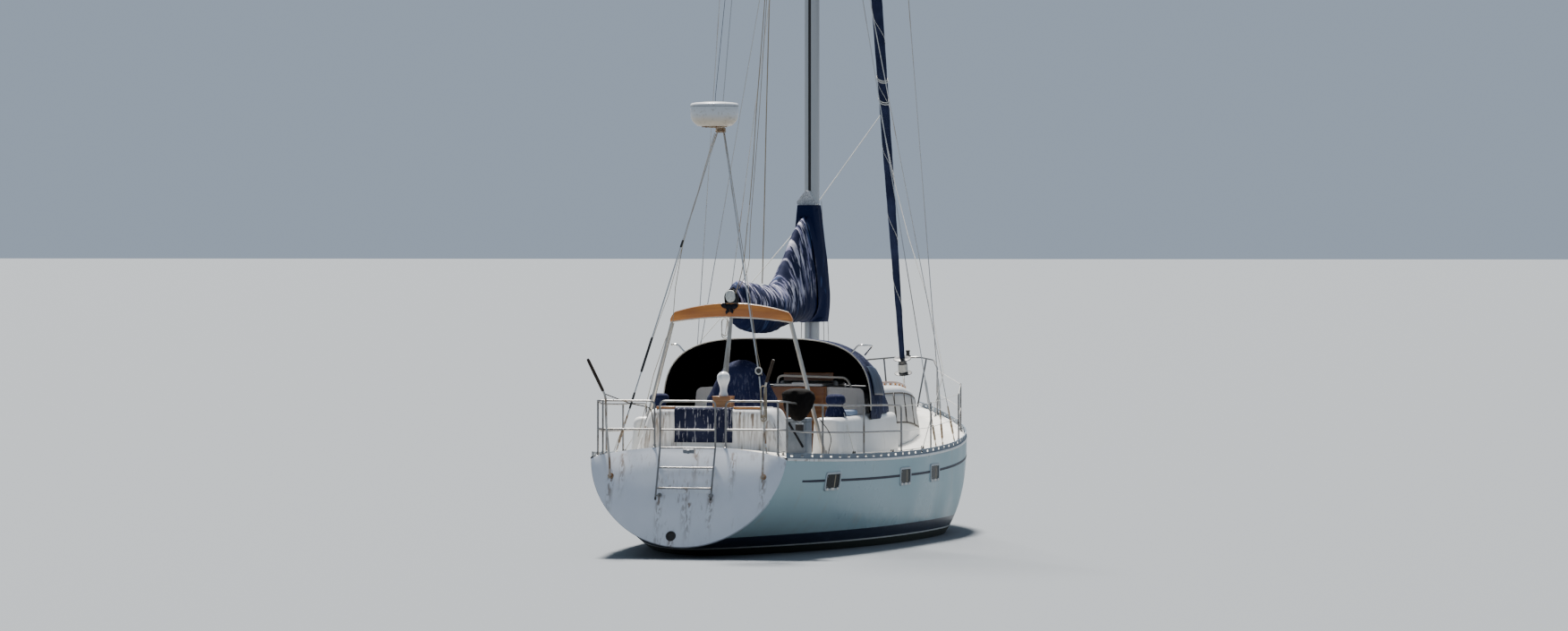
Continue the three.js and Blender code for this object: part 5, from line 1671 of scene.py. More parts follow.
# Mast. An anodised alloy extrusion, oval, with its luff groove down its aft face drawn as a near-black strip
# of painted shade, stepped in a collar on the coachroof. Its masthead carries the stays, and one pair of
# spreaders stands on a clamped collar.
groove_painted_shade = Finish("luff_groove_painted_shade", roughness=0.7)
groove_painted_shade.surface(Base_Color=(0.012, 0.012, 0.013))
mast_metal = Finish("mast_alloy", roughness=0.42, metallic=0.75)
mast_metal.tones((0.4, 0.415, 0.43), (0.31, 0.315, 0.32), 4, 6, (1, 1, 0.06), limits=(0.44, 0.72))
mast_x, mast_foot, mast_top = 0.52, 2.184, 20.3
spreader_z = 11.5


def mast_ring(z, grow=0.0, steps=72):
    """A ring round the mast, whose flats face forward and aft."""
    turned_half = [a + pi / steps for a in angles(steps)]
    return [(mast_x + (0.145 + grow) * cos(a), (0.103 + grow) * sin(a), z) for a in turned_half]


mast_parts = [
    solid([mast_ring(z) for z in (mast_foot, mast_top)]),
    solid([
        mast_ring(z, g)
        for z, g in ((mast_foot, 0.045), (2.205, 0.045), (2.214, 0.038), (2.222, 0.012), (2.26, 0.004))
    ]),
    cast(0.25, 0.8, -0.045, 0.045, 20.04, 20.24, 0.02, 0.01),
]
for rise in (-0.045, 0.045):
    mast_parts.append(cast(
        0.272, 0.42, -0.024, 0.024, gooseneck_z + rise - 0.009, gooseneck_z + rise + 0.009, 0.012, 0.004
    ))
fit(made("mast_spar", mast_parts, mast_metal), "spar_alloy", "mast")
groove = cast(0.3735, 0.39, -0.02, 0.02, 4.75, 20.02, 0.004, 0.002)
fit(made("luff_groove", [groove], groove_painted_shade), "black_canvas")
stub = turned(
    [(0, 0), (0.009, 0), (0.009, 0.2), (0, 0.2)], (0.7053, 0, 19.9105), axis=(-0.298, 0, 0.954), steps=12
)
fit(made("stay_head", [stub], steel), "stainless")

spreader_parts = [skin(
    [
        mast_ring(spreader_z + h, g)
        for h, g in ((-0.035, 0.0008), (-0.035, 0.03), (0.035, 0.03), (0.035, 0.0008))
    ],
    closed=True,
)]
for sign in (1, -1):
    rings = []
    for y, half_x, half_z in (
        (0.118, 0.075, 0.026), (0.6, 0.06, 0.021), (1.06, 0.042, 0.016), (1.09, 0.036, 0.016),
        (1.0995, 0.02, 0.009),
    ):
        rings.append([
            (mast_x + half_x * cos(a), sign * y, spreader_z + half_z * sin(a))
            for a in angles(24)
        ])
    spreader_parts.append(solid(rings))
fit(made("spreader_pair", spreader_parts, mast_metal), "spar_alloy", "spreaders")


# Mast cover. The fore end of the mainsail's cover laces round the mast, flaring to a hem below the boom,
# and the sail's head, with its dull alloy headboard, stands up out of the top.
# z, half breadth, reach forward
wrap_table = [
    [3.06, 0.235, 0.215], [3.33, 0.262, 0.235], [3.6, 0.25, 0.232], [3.9, 0.225, 0.215],
    [4.4, 0.16, 0.18], [4.72, 0.122, 0.16],
]
wrap_rings = []
for z in np.linspace(3.06, 4.72, 60):
    half, front = fair(wrap_table, z)
    ring = []
    for k in range(-30, 31):
        a = k / 30 * pi / 2
        fold = 0.01 * crease((cos(a), sin(a), z * 0.4), 3.1, 5) - 0.006
        ring.append((mast_x + (front + fold) * cos(a), (half + fold) * sin(a), z))
    limit = min(half, 0.238) - 0.012
    first_y, last_y = ring[0][1], ring[-1][1]
    ring += [(0.42, last_y, z), (0.33, last_y, z)]
    for k in range(18, -19, -1):
        y = limit * k / 18
        fold = 0.006 * crease((z * 3, y, z), 1.5, 9)
        ring.append((0.3 - sqrt(0.238 ** 2 - y * y) + 0.006 + abs(fold), y, z))
    ring += [(0.33, first_y, z), (0.42, first_y, z)]
    wrap_rings.append(ring)
window_low, window_high = 3.13, 3.45
wrap_points, wrap_faces = skin(wrap_rings, closed=True)
kept = []
for face in wrap_faces:
    middle = sum((Vector(wrap_points[v]) for v in face), Vector()) / len(face)
    if not (middle.x < 0.32 and window_low < middle.z < window_high):
        kept.append(face)
wrap_cloth = made("sail_cover_on_mast", [(wrap_points, kept)], sail_navy, crease=80)
thickened(wrap_cloth, 0.003)
fit(wrap_cloth, "navy_canvas", "sail_cover_mast")
gusset_panels = []
for sign in (1, -1):
    rows = []
    for u in np.linspace(0, 1, 12):
        x = -0.03 + 0.38 * u
        top, bottom, half = fair(cover_table, min(x, 0.05))
        row = []
        for t in np.linspace(0, 1, 30):
            a = radians(-80 + 158 * t)
            rise = sin(a)
            narrow = 1 - 0.35 * rise * rise if rise > 0 else 1
            at_boom = Vector((
                x, (half + 0.016) * cos(a) * narrow + 0.012,
                3.33 + (top - 3.33 if rise > 0 else 3.33 - bottom) * rise,
            ))
            z = 3.08 + 1.6 * t
            at_mast = Vector((x, fair(wrap_table, z)[0] + 0.009, z))
            way = u * u * (3 - 2 * u)
            fold = 0.01 * sin(pi * u) * crease((x, t * 2.2, sign), 3, 6)
            spot = at_boom.lerp(at_mast, way)
            row.append((spot.x, sign * (spot.y + fold), spot.z))
        rows.append(row)
    gusset_panels.append(skin(rows))
gussets = made("sail_cover_gussets", gusset_panels, sail_navy, crease=80)
thickened(gussets, 0.003, 0)
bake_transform(gussets)
head_grey = Finish("headboard_alloy", roughness=0.6, metallic=0.3)
head_grey.tones((0.36, 0.37, 0.38), (0.62, 0.63, 0.64), 60, 5, limits=(0.42, 0.62))
head_rings = []
for x, lean in ((0.235, 0.0), (0.245, 0.004), (0.3, 0.03), (0.325, 0.045)):
    ring = []
    for y, z in (
        (-0.15, 4.735), (-0.06, 4.7), (0.02, 4.665), (0.105, 4.7), (0.155, 4.72), (0.165, 4.76),
        (0.1, 4.85), (0.03, 4.93), (-0.005, 4.92), (-0.045, 4.85), (-0.1, 4.79),
    ):
        bulge = 0.012 * crease((x, y, z), 9, 3)
        ring.append((x + lean + bulge, y * (1 - 1.5 * lean) - 0.01, z + 0.6 * bulge))
    head_rings.append(ring)
fit(made("sail_head", [solid(head_rings)], head_grey), "grey_plastic")


# Standing rigging. Stranded steel wires from the masthead and the spreaders' roots to chainplates bolted
# through the side decks. Each ends in a swage, a rusty bronze turnbuckle and a steel tang.
wire_steel = Finish("wire_steel", roughness=0.34, metallic=0.85)
wire_steel.tones((0.58, 0.58, 0.57), (0.4, 0.33, 0.25), 3, 5, (1, 1, 0.4), limits=(0.5, 0.74))
rusty = Finish("rusty_bronze", roughness=0.5, metallic=0.8)
rusty.tones((0.46, 0.38, 0.28), (0.24, 0.13, 0.065), 25, 5, limits=(0.4, 0.66))
splice_white = canvas("splice_white", (0.55, 0.55, 0.53), (0.75, 0.75, 0.73), weave=1800)
wire_radius = 0.0068


def chainplate_foot(x, sign):
    y = sign * (half_breadth(x) - 0.105)
    return Vector((x, y, deck_top(x, y) + 0.03))


def stepped(foot, way, marks):
    """A straight route along a way, with a radius at each distance."""
    return [radius for _, radius in marks], [foot + way * distance for distance, _ in marks]


def turnbuckle(foot, head):
    """The swage, the barrel and the screws of a stay's lower end, as one route of changing thickness."""
    way = (head - foot).normalized()
    marks = [
        (0, 0.011), (0.045, 0.011), (0.046, 0.007), (0.1, 0.007), (0.101, 0.0145), (0.125, 0.016),
        (0.29, 0.016), (0.315, 0.0145), (0.316, 0.007), (0.37, 0.007), (0.371, 0.0105), (0.385, 0.0115),
        (0.5, 0.0105), (0.51, 0.0072),
    ]
    return stepped(foot, way, marks)


def chainplate(foot, head):
    """A steel tang that stands up through the deck in line with its stay, over a bedded cover plate."""
    way = (head - foot).normalized()
    side = way.cross(Vector((1, 0, 0))).normalized()
    frame_of = Matrix((side.cross(way), side, way)).transposed().to_4x4()
    frame_of.translation = foot
    tang = placed(cast(-0.024, 0.024, -0.005, 0.005, -0.05, 0.03, 0.004, 0.004), frame_of)
    pad = cast(
        foot.x - 0.045, foot.x + 0.045, foot.y - 0.028, foot.y + 0.028, foot.z - 0.04, foot.z - 0.024,
        0.02, 0.003,
    )
    return [tang, pad]


for side, sign in both_sides:
    cap_foot = chainplate_foot(0.78, sign)
    tip = Vector((mast_x, sign * 1.1075, spreader_z))
    cap_head = Vector((mast_x, sign * 0.112, 19.97))
    lower_root = Vector((mast_x, sign * 0.118, 11.35))
    lower_feet = [chainplate_foot(x, sign) for x in (0.36, 1.74)]
    cap_wire = tubes(f"cap_shroud_wire_{side}", [(wire_radius, [cap_foot, tip, cap_head])], wire_steel, 8)
    fit(cap_wire, "stainless", f"cap_shroud_{side}")
    lower_wires = tubes(
        f"lower_shroud_wires_{side}", [(wire_radius, [foot, lower_root]) for foot in lower_feet],
        wire_steel, 8,
    )
    fit(lower_wires, "stainless", f"lower_shrouds_{side}")
    feet = [(cap_foot, tip), *((foot, lower_root) for foot in lower_feet)]
    fit(tubes(f"turnbuckles_{side}", [turnbuckle(*ends) for ends in feet], rusty, 12), "stainless")
    plates = [part for ends in feet for part in chainplate(*ends)]
    plates.append(cast(
        mast_x - 0.04, mast_x + 0.04, sign * 0.1145 - 0.011, sign * 0.1145 + 0.011, 11.3, 11.41, 0.01, 0.004
    ))
    fit(made(f"chainplates_{side}", plates, steel), "stainless")
    boots = [
        (
            [0.016, 0.018, 0.018, 0.013],
            [foot + (head - foot).normalized() * d for d in (0.52, 0.56, 0.92, 0.97)],
        )
        for foot, head in feet[:2]
    ]
    fit(tubes(f"shroud_boots_{side}", boots, splice_white, 12), "white_plastic")


# Backstay. One wire to a rusty plate aft of the boom's end, where it splits into a leg to each quarter.
# Each leg has a slight kink where its two lengths join, under a black sleeve, and more sleeves below it.
plate_point = Vector((-4.6, 0, 5.72))
plate_parts = [cast(-4.604, -4.596, -0.07, 0.07, 5.675, 5.74, 0.006, 0.002)]
fit(
    tubes("backstay_wire", [(wire_radius, [(0.243, 0, 20.125), plate_point])], wire_steel, 8),
    "stainless", "backstay",
)
bracket = [
    cast(-4.635, -4.565, -0.07, 0.07, 5.69, 5.704, 0.01, 0.004),
    cast(-5.06, -4.588, -0.06, 0.06, 5.734, 5.7555, 0.03, 0.004),
    cast(-4.98, -4.88, -0.17, 0.17, 5.742, 5.7555, 0.02, 0.003),
]
fit(made("backstay_plate", [*plate_parts, *bracket], rusty), "stainless")
kinks = {"port": Vector((-5.29, 0.37, 4.14)), "starboard": Vector((-5.855, -0.86, 2.42))}
lower_sleeves = {"port": [(0.45, 0.62, 0.017), (0.72, 0.8, 0.015)], "starboard": [(0.25, 0.3, 0.015)]}
black_boot = Finish("black_boot", roughness=0.6)
black_boot.surface(Base_Color=(0.015, 0.015, 0.016))
for side, sign in both_sides:
    foot = Vector((-6.15, sign * 1.03, deck_top(-6.15, 1.03) + 0.03))
    head = Vector((-4.612, sign * 0.045, 5.6707))
    kink = kinks[side]
    leg = tubes(f"backstay_leg_wire_{side}", [(0.0098, [head, kink, foot])], wire_steel, 10)
    fit(leg, "stainless", f"backstay_leg_{side}")
    fit(tubes(f"backstay_turnbuckle_{side}", [turnbuckle(foot, kink)], rusty, 12), "stainless")
    fit(made(f"backstay_chainplate_{side}", chainplate(foot, kink), steel), "stainless")
    upper = (head - kink).normalized()
    sleeve = [([0.012, 0.015, 0.015, 0.012], [kink + upper * d for d in (-0.02, 0.0, 0.07, 0.09)])]
    lower = foot - kink
    for start, stop, thick in lower_sleeves[side]:
        sleeve.append((
            [thick * 0.8, thick, thick, thick * 0.8],
            [kink + lower * t for t in (start, start + 0.01, stop - 0.01, stop)],
        ))
    fit(tubes(f"backstay_sleeves_{side}", sleeve, black_boot, 12), "black_canvas")


# Radome. A white moulded scanner cover on a bracket at the backstay's plate: a flat crown with a rounded
# rim, a joint below it and a tapered base that has gone beige and dirty.
radome_white = Finish("radome_white", roughness=0.35, Coat_Weight=0.2)
_, _, radome_height = radome_white.axes()
grime = radome_white.step(radome_white.noise(6, 5, (1, 1, 0.35)) * 0.1 + radome_height, 5.99, 5.86)
spots = radome_white.patches(0.56, 0.66, 26, 5)
# The white shell is given a mid grey, not white: painted shade. The beige lower down is dirt.
shell_tone_painted_shade = radome_white.mix(grime, (0.6, 0.62, 0.64), (0.56, 0.48, 0.37))
radome_white.surface(Base_Color=radome_white.mix(spots * 0.4, shell_tone_painted_shade, (0.3, 0.26, 0.2)))
radome_x = -4.93
radome_profile = [
    (0, 0), (0.2, 0.0), (0.225, 0.004), (0.262, 0.03), (0.298, 0.07), (0.316, 0.11), (0.324, 0.15),
    (0.3255, 0.2), (0.325, 0.262), (0.3235, 0.266), (0.3235, 0.271), (0.3255, 0.275), (0.324, 0.29),
    (0.316, 0.302), (0.3, 0.311), (0.24, 0.32), (0.12, 0.329), (0, 0.3335),
]
radome = made(
    "radome_shell", [turned(radome_profile, (radome_x, 0, 5.7563), steps=64)], radome_white, crease=28
)
fit(radome, "white_plastic", "radome")
joint = tubes(
    "radome_joint",
    [(0.0022, [(radome_x + 0.3252 * cos(a), 0.3252 * sin(a), 6.0245) for a in np.linspace(0, 2 * pi, 97)])],
    dark_rubber, 6,
)
fit(joint, "black_canvas")
feet = [
    (
        0.016,
        [
            (radome_x + 0.13 * cos(a), 0.13 * sin(a), 5.7566),
            (radome_x + 0.13 * cos(a), 0.13 * sin(a), 5.735),
        ],
    )
    for a in (0.7, 2.4, 3.9, 5.5)
]
fit(tubes("radome_bolts", feet, rusty, 8), "stainless")


# Headsail. The sail is rolled tightly on the forestay inside its navy sun strip, tied at two heights with
# white rope, and its spiral edge shows as a thin pale line. A black drum with flanges turns it below.
stay_foot, stay_head = Vector((6.36, 0, 1.8)), Vector((0.69, 0, 19.95))
stay_way = (stay_head - stay_foot).normalized()
stay_side = Vector((0, 1, 0))
stay_front = stay_side.cross(stay_way).normalized()


def on_stay(z, out=0.0, angle=0.0):
    along = stay_foot + stay_way * ((z - stay_foot.z) / stay_way.z)
    return along + (stay_front * cos(angle) + stay_side * sin(angle)) * out


# z, radius
roll_table = [
    [2.4504, 0.038], [2.8, 0.042], [4.7, 0.062], [7.8, 0.08], [10.0, 0.084], [14.0, 0.07], [18.5, 0.04],
    [19.3, 0.016],
]
band_zs = (6.3, 6.62)
roll_canvas = canvas("sun_strip_navy", (0.008, 0.012, 0.036), (0.028, 0.038, 0.09), fade=0.6, bump=0.35)


def roll_radius(z, angle=0.0):
    base = fair(roll_table, z)[0]
    wind = (z * 2.4 + angle / (2 * pi)) % 1.0
    lap = 0.0035 * (1 - wind)
    pinch = sum(0.008 * exp(-((z - band) / 0.035) ** 2) for band in band_zs)
    bulge = 0.0035 * crease((cos(angle), sin(angle), z * 1.1), 2.0, 12)
    return base + (lap + bulge - 0.002 - pinch) * min(1.0, base / 0.05)


roll_rings = [
    [on_stay(z, roll_radius(z, a), a) for a in angles(40)]
    for z in [*np.arange(2.4504, 3.0, 0.05), *np.arange(3.0, 19.25, 0.085), 19.3]
]
roll = made("rolled_headsail_cloth", [solid(roll_rings)], roll_canvas, crease=60)
fit(roll, "navy_canvas", "rolled_headsail", body="furler")
foil = tubes("stay_foil", [(0.0088, [on_stay(19.29), on_stay(19.9095)])], steel, 12)
fit(foil, "stainless", body="furler")
edge_line = []
for z in np.arange(2.9, 18.9, 0.012):
    a = (-z * 2.4) * 2 * pi * 0.42
    edge_line.append(on_stay(z, roll_radius(z, a) + 0.0035, a))
fit(tubes("headsail_edge_line", [(0.0026, edge_line)], splice_white, 6), "white_plastic", body="furler")
rope_white = canvas("rope_white", (0.52, 0.51, 0.48), (0.72, 0.71, 0.67), weave=1500)
bands = []
for band in band_zs:
    for shift in (-0.014, 0.014):
        route = []
        for a in np.linspace(0, 2 * pi, 33):
            z = band + shift + 0.03 * sin(a + 0.6)
            route.append(on_stay(z, roll_radius(z, a) + 0.007, a))
        bands.append((0.008, route))
fit(tubes("headsail_bands", bands, rope_white, 8), "white_plastic", body="furler")
drum_black = Finish("drum_black", roughness=0.45, Coat_Weight=0.2)
drum_black.tones((0.02, 0.02, 0.022), (0.1, 0.1, 0.1), 12, 5, limits=(0.45, 0.72))
drum_profile = [
    (0, 2.21), (0.118, 2.21), (0.132, 2.213), (0.135, 2.2175), (0.132, 2.222), (0.118, 2.226),
    (0.066, 2.232), (0.062, 2.24), (0.062, 2.412), (0.066, 2.42), (0.118, 2.426), (0.132, 2.429),
    (0.135, 2.4345), (0.132, 2.44), (0.118, 2.443), (0.052, 2.446), (0.046, 2.4499), (0, 2.4499),
]
drum_rings = [[on_stay(z, r, a) for a in angles(48)] for r, z in drum_profile[1:-1]]
fit(made("drum_body", [solid(drum_rings)], drum_black), "black_canvas", "furler_drum", body="furler")
turns = []
for k in range(9):
    z = 2.252 + 0.0125 * k
    turns.append((0.0062, [on_stay(z, 0.067, a) for a in np.linspace(0, 2 * pi, 37)]))
fit(tubes("furling_line_turns", turns, rope_white, 8), "white_plastic", body="furler")

stem_parts = [
    cast(6.2, 6.68, -0.05, -0.042, 1.74, 1.85, 0.02, 0.003),
    cast(6.2, 6.68, 0.042, 0.05, 1.74, 1.85, 0.02, 0.003),
    cast(6.2, 6.66, -0.045, 0.045, 1.745, 1.753, 0.02, 0.002),
]
fit(made("stem_fitting_plates", stem_parts, steel), "stainless", "stem_fitting")
stem_pin = tubes(
    "forestay_foot",
    [(0.014, [on_stay(1.8), on_stay(2.2096)]), (0.012, [(6.35, -0.055, 1.81), (6.35, 0.055, 1.81)])],
    steel, 14,
)
fit(stem_pin, "stainless")
roller = [turned(
    [
        (0, -0.04), (0.037, -0.04), (0.037, -0.03), (0.026, -0.012), (0.026, 0.012), (0.037, 0.03),
        (0.037, 0.04), (0, 0.04),
    ],
    (6.66, 0, 1.83), axis=(0, 1, 0), steps=28,
)]
fit(made("anchor_roller", roller, dark_rubber), "black_canvas")


# Rails. Welded and polished steel tube: a stern rail round each quarter with a gap for the ladder, two
# plastic-covered wires through stanchions along each side, and a pulpit at the bow with its light.
rail_radius = 0.013


def rail_y(x):
    return half_breadth(x) - 0.07


def on_edge(x, sign, rise):
    return Vector((x, sign * rail_y(x), sheer(x) + 0.025 + rise))


rail_x, gate_y, rail_top, rail_middle, post_x = -6.2, 0.49, 2.08, 1.7, -1.72
corner_y = rail_y(rail_x) - 0.01
rail_along = (-5.6, -4.95, -4.2, -3.4, -2.5)
rail_steel = Finish("rail_steel", roughness=0.34, metallic=0.9)
rail_steel.tones((0.26, 0.255, 0.25), (0.16, 0.13, 0.1), 6, 5, limits=(0.46, 0.74))
for side, sign in both_sides:
    top = bend(
        [
            (rail_x, sign * gate_y, deck_top(rail_x, gate_y) - 0.01), (rail_x, sign * gate_y, rail_top),
            (rail_x, sign * corner_y, rail_top), *(on_edge(x, sign, 0.72) for x in rail_along),
            on_edge(post_x, sign, 0.7), on_edge(post_x, sign, -0.02),
        ],
        0.08,
    )
    middle = bend(
        [
            (rail_x, sign * gate_y, rail_middle), (rail_x, sign * (corner_y - 0.06), rail_middle),
            (rail_x + 0.06, sign * corner_y, rail_middle), *(on_edge(x, sign, 0.355) for x in rail_along),
            on_edge(post_x, sign, 0.345),
        ],
        0.05, 4,
    )
    corner = Vector((rail_x, sign * corner_y, rail_top))
    next_post = on_edge(rail_along[0], sign, 0.72)
    corner_tops = [Vector((corner.x, sign * (corner_y - 0.078), corner.z)), corner.lerp(next_post, 0.18)]
    posts = [(p, Vector((p.x, p.y, deck_top(p.x, p.y) - 0.02))) for p in corner_tops]
    posts += [(on_edge(x, sign, 0.718), on_edge(x, sign, -0.02)) for x in (-4.95, -3.4)]
    rails = tubes(
        f"stern_rail_tubes_{side}",
        [(rail_radius, top), (rail_radius, middle), *((rail_radius, post) for post in posts)], rail_steel,
        14,
    )
    fit(rails, "stainless", f"stern_rail_{side}")
    stanchion_xs = (-0.12, 1.98, 3.55)
    wire_paths = []
    for rise in (0.688, 0.345):
        wire_paths.append((
            0.0042,
            [
                on_edge(post_x + 0.014, sign, rise), *(on_edge(x, sign, rise) for x in stanchion_xs),
                on_edge(5.436, sign, rise - 0.02),
            ],
        ))
    stanchions = [(0.0122, [on_edge(x, sign, -0.01), on_edge(x, sign, 0.7)]) for x in stanchion_xs]
    fit(tubes(f"life_line_wires_{side}", wire_paths, rope_white, 8), "white_plastic")
    fit(tubes(f"stanchions_{side}", stanchions, rail_steel, 14), "stainless", f"life_lines_{side}")
    sockets = [p[1] for p in posts]
    sockets += [on_edge(x, sign, -0.01) for x in (*stanchion_xs, post_x, 5.45)]
    sockets.append(Vector((rail_x, sign * gate_y, deck_top(rail_x, gate_y))))
    socket_parts = [turned([
        (0, 0), (0.036, 0), (0.036, 0.005), (0.031, 0.008), (0.019, 0.01), (0.0175, 0.045), (0, 0.045)
    ])]
    spots = [((p.x, p.y, deck_top(p.x, p.y) + 0.0012), (1, 0, 0), (0, 0, 1)) for p in sockets]
    fit(laid_out(f"rail_sockets_{side}", socket_parts, spots, rail_steel), "stainless")

pulpit_top = 2.45
hoop = bend(
    [
        on_edge(5.45, 1, -0.02), on_edge(5.45, 1, 0.7), (6.02, 0.52, pulpit_top - 0.03),
        (6.56, 0.19, pulpit_top), (6.56, -0.19, pulpit_top), (6.02, -0.52, pulpit_top - 0.03),
        on_edge(5.45, -1, 0.7), on_edge(5.45, -1, -0.02),
    ],
    0.08,
)
pulpit_paths = [(rail_radius, hoop)]
for sign in (1, -1):
    pulpit_paths.append((
        rail_radius,
        [(6.2, sign * 0.225, deck_top(6.2, 0.225) - 0.01), (6.35, sign * 0.33, pulpit_top - 0.008)],
    ))
fit(tubes("pulpit_tubes", pulpit_paths, rail_steel, 14), "stainless", "pulpit")
lamp_parts = [
    cast(6.5, 6.56, -0.045, 0.045, 2.464, 2.478, 0.01, 0.003),
    turned(
        [
            (0, 0), (0.032, 0), (0.032, 0.008), (0.028, 0.01), (0.028, 0.06), (0.034, 0.062),
            (0.034, 0.078), (0.02, 0.086), (0, 0.088),
        ],
        (6.53, 0, 2.478), steps=24,
    ),
]
fit(made("bow_light", lamp_parts, dark_rubber), "black_canvas")


# Ladder. Steel tube with four rungs, hinged on two arms that stand out from the transom, and swung up to
# close the gap in the stern rail.
ladder_out, ladder_bend, ladder_half = 0.1, 1.47, 0.38


def ladder_x(z):
    return transom_x(min(z, ladder_bend)) - ladder_out


ladder_path = bend(
    [
        (ladder_x(0.78), ladder_half, 0.78), (ladder_x(ladder_bend), ladder_half, ladder_bend),
        (ladder_x(2.08), ladder_half, 2.08), (ladder_x(2.08), -ladder_half, 2.08),
        (ladder_x(ladder_bend), -ladder_half, ladder_bend), (ladder_x(0.78), -ladder_half, 0.78),
    ],
    0.065,
)
ladder_paths = [(rail_radius, ladder_path)]
for z in (0.93, 1.2, 1.46, 1.7):
    ladder_paths.append((0.0118, [(ladder_x(z), -ladder_half, z), (ladder_x(z), ladder_half, z)]))
fit(tubes("ladder_tubes", ladder_paths, rail_steel, 14), "stainless", "boarding_ladder", body="ladder")
ladder_caps = [
    (0.0145, [(ladder_x(0.78), sign * ladder_half, 0.777), (ladder_x(0.82), sign * ladder_half, 0.815)])
    for sign in (1, -1)
]
fit(tubes("ladder_end_caps", ladder_caps, dark_rubber, 12), "black_canvas", body="ladder")
hinge_z = 0.831
for side, sign in both_sides:
    y = sign * (ladder_half - rail_radius - 0.014)
    root = Vector((transom_x(hinge_z), y, hinge_z)) + transom_out * 0.003
    tip = Vector((ladder_x(hinge_z), y, hinge_z))
    arm_paths = [
        (0.0118, [root, tip]), (0.0068, [tip, Vector((tip.x, sign * (ladder_half - 0.0135), hinge_z))]),
        (
            [0.033, 0.033, 0.029, 0.014],
            [root, root + transom_out * 0.005, root + transom_out * 0.009, root + transom_out * 0.0095],
        ),
    ]
    fit(tubes(f"ladder_bracket_{side}", arm_paths, rail_steel, 16), "stainless", f"ladder_arm_{side}")


# Poles. Two steel poles on round pads on the transom, bent outward above the rail, their ends wound with
# brown tape.
pole_routes = {
    "port": [(-6.4, 1.055, 1.25), (-6.345, 1.12, 1.78), (-6.335, 1.13, 2.14), (-6.335, 1.38, 2.64)],
    "starboard": [(-6.4, -1.05, 1.25), (-6.345, -1.058, 1.78), (-6.335, -1.06, 2.27), (-6.335, -1.18, 2.64)],
}
wrap_brown = canvas("pole_wrap_brown", (0.035, 0.026, 0.022), (0.15, 0.105, 0.07), bump=0.5)
pole_steel = Finish("pole_steel", roughness=0.4, metallic=0.7)
pole_steel.tones((0.56, 0.53, 0.48), (0.27, 0.19, 0.13), 9, 4, (1, 1, 0.6), limits=(0.42, 0.66))
for side, sign in both_sides:
    pad = Vector((transom_x(1.08), sign * 1.05, 1.08))
    off = [pad + transom_out * out for out in (0.0035, 0.055)]
    route = bend([*off, *pole_routes[side]], 0.06, 5)
    pads = ([0.041, 0.041, 0.038, 0.018], [pad + transom_out * out for out in (0.0035, 0.009, 0.013, 0.0135)])
    fit(tubes(f"pole_tube_{side}", [(0.0155, route)], pole_steel, 16), "stainless", f"stern_pole_{side}")
    fit(tubes(f"pole_pad_{side}", [pads], rusty, 24), "stainless")
    tip, below = Vector(route[-1]), Vector(route[-2])
    wound = [below.lerp(tip, t) for t in (0.03, 0.06, 0.5, 0.94, 0.985)]
    fit(
        tubes(f"pole_wrap_{side}", [([0.017, 0.021, 0.0225, 0.021, 0.017], wound)], wrap_brown, 14),
        "black_canvas",
    )


# Under water. A bolted-on fin keel, a skeg that carries the rudder's heel, the rudder with its stock, and
# a bronze shaft, strut and three-bladed propeller, all but the bronze painted with antifouling.
def foil_ring(z, nose, tail, half, count=44):
    ring = []
    for a in angles(count):
        along = (1 + cos(a)) / 2
        ring.append((tail + (nose - tail) * along, half * sin(a) * (0.25 + 0.75 * sqrt(along)) * 1.04, z))
    return ring


def foil_shape(table, steps=26):
    return [foil_ring(z, *fair(table, z)) for z in np.linspace(table[0][0], table[-1][0], steps)]


# z, nose x, tail x, half thickness
keel_rings = foil_shape([
    [-1.93, 0.85, -1.25, 0.15], [-1.7, 0.96, -1.29, 0.165], [-1.1, 1.25, -1.38, 0.13],
    [-0.55, 1.52, -1.46, 0.143],
])
keel_rings.insert(0, [(x * 0.985 - 0.003, y * 0.82, -1.9299) for x, y, _ in keel_rings[0]])
fit(made("fin_keel_casting", [solid(keel_rings)], antifouling), "antifouling", "fin_keel")
skeg_rings = foil_shape(
    [[-1.23, -4.93, -5.132, 0.045], [-0.7, -4.77, -5.132, 0.055], [-0.04, -4.61, -5.132, 0.065]], 14
)
fit(made("skeg_moulding", [solid(skeg_rings)], antifouling), "antifouling", "skeg")

stock_x = -5.18
# z, chord
rudder_table = [[-1.68, 0.43], [-1.6, 0.49], [-0.9, 0.545], [-0.19, 0.5]]
rudder_rings = []
for z in np.linspace(-1.68, -0.19, 24):
    chord = fair(rudder_table, z)[0]
    tight = 0.75 if z < -1.675 else 1.0
    ring = []
    for k in range(-8, 9):
        a = k / 8 * pi / 2
        ring.append((stock_x + 0.042 * cos(a) * tight, 0.042 * sin(a) * tight, z))
    blade_side = [(stock_x - chord * f, (0.042 - 0.037 * f ** 1.3) * tight) for f in (0.25, 0.5, 0.75, 1.0)]
    ring += [(x, y, z) for x, y in blade_side] + [(x, -y, z) for x, y in reversed(blade_side)]
    rudder_rings.append(ring)
stock_part = turned([(0, -0.27), (0.03, -0.27), (0.03, -0.0775), (0, -0.0775)], (stock_x, 0, 0), steps=24)
fit(
    made("rudder_blade", [solid(rudder_rings), stock_part], antifouling), "antifouling", "rudder",
    body="rudder",
)

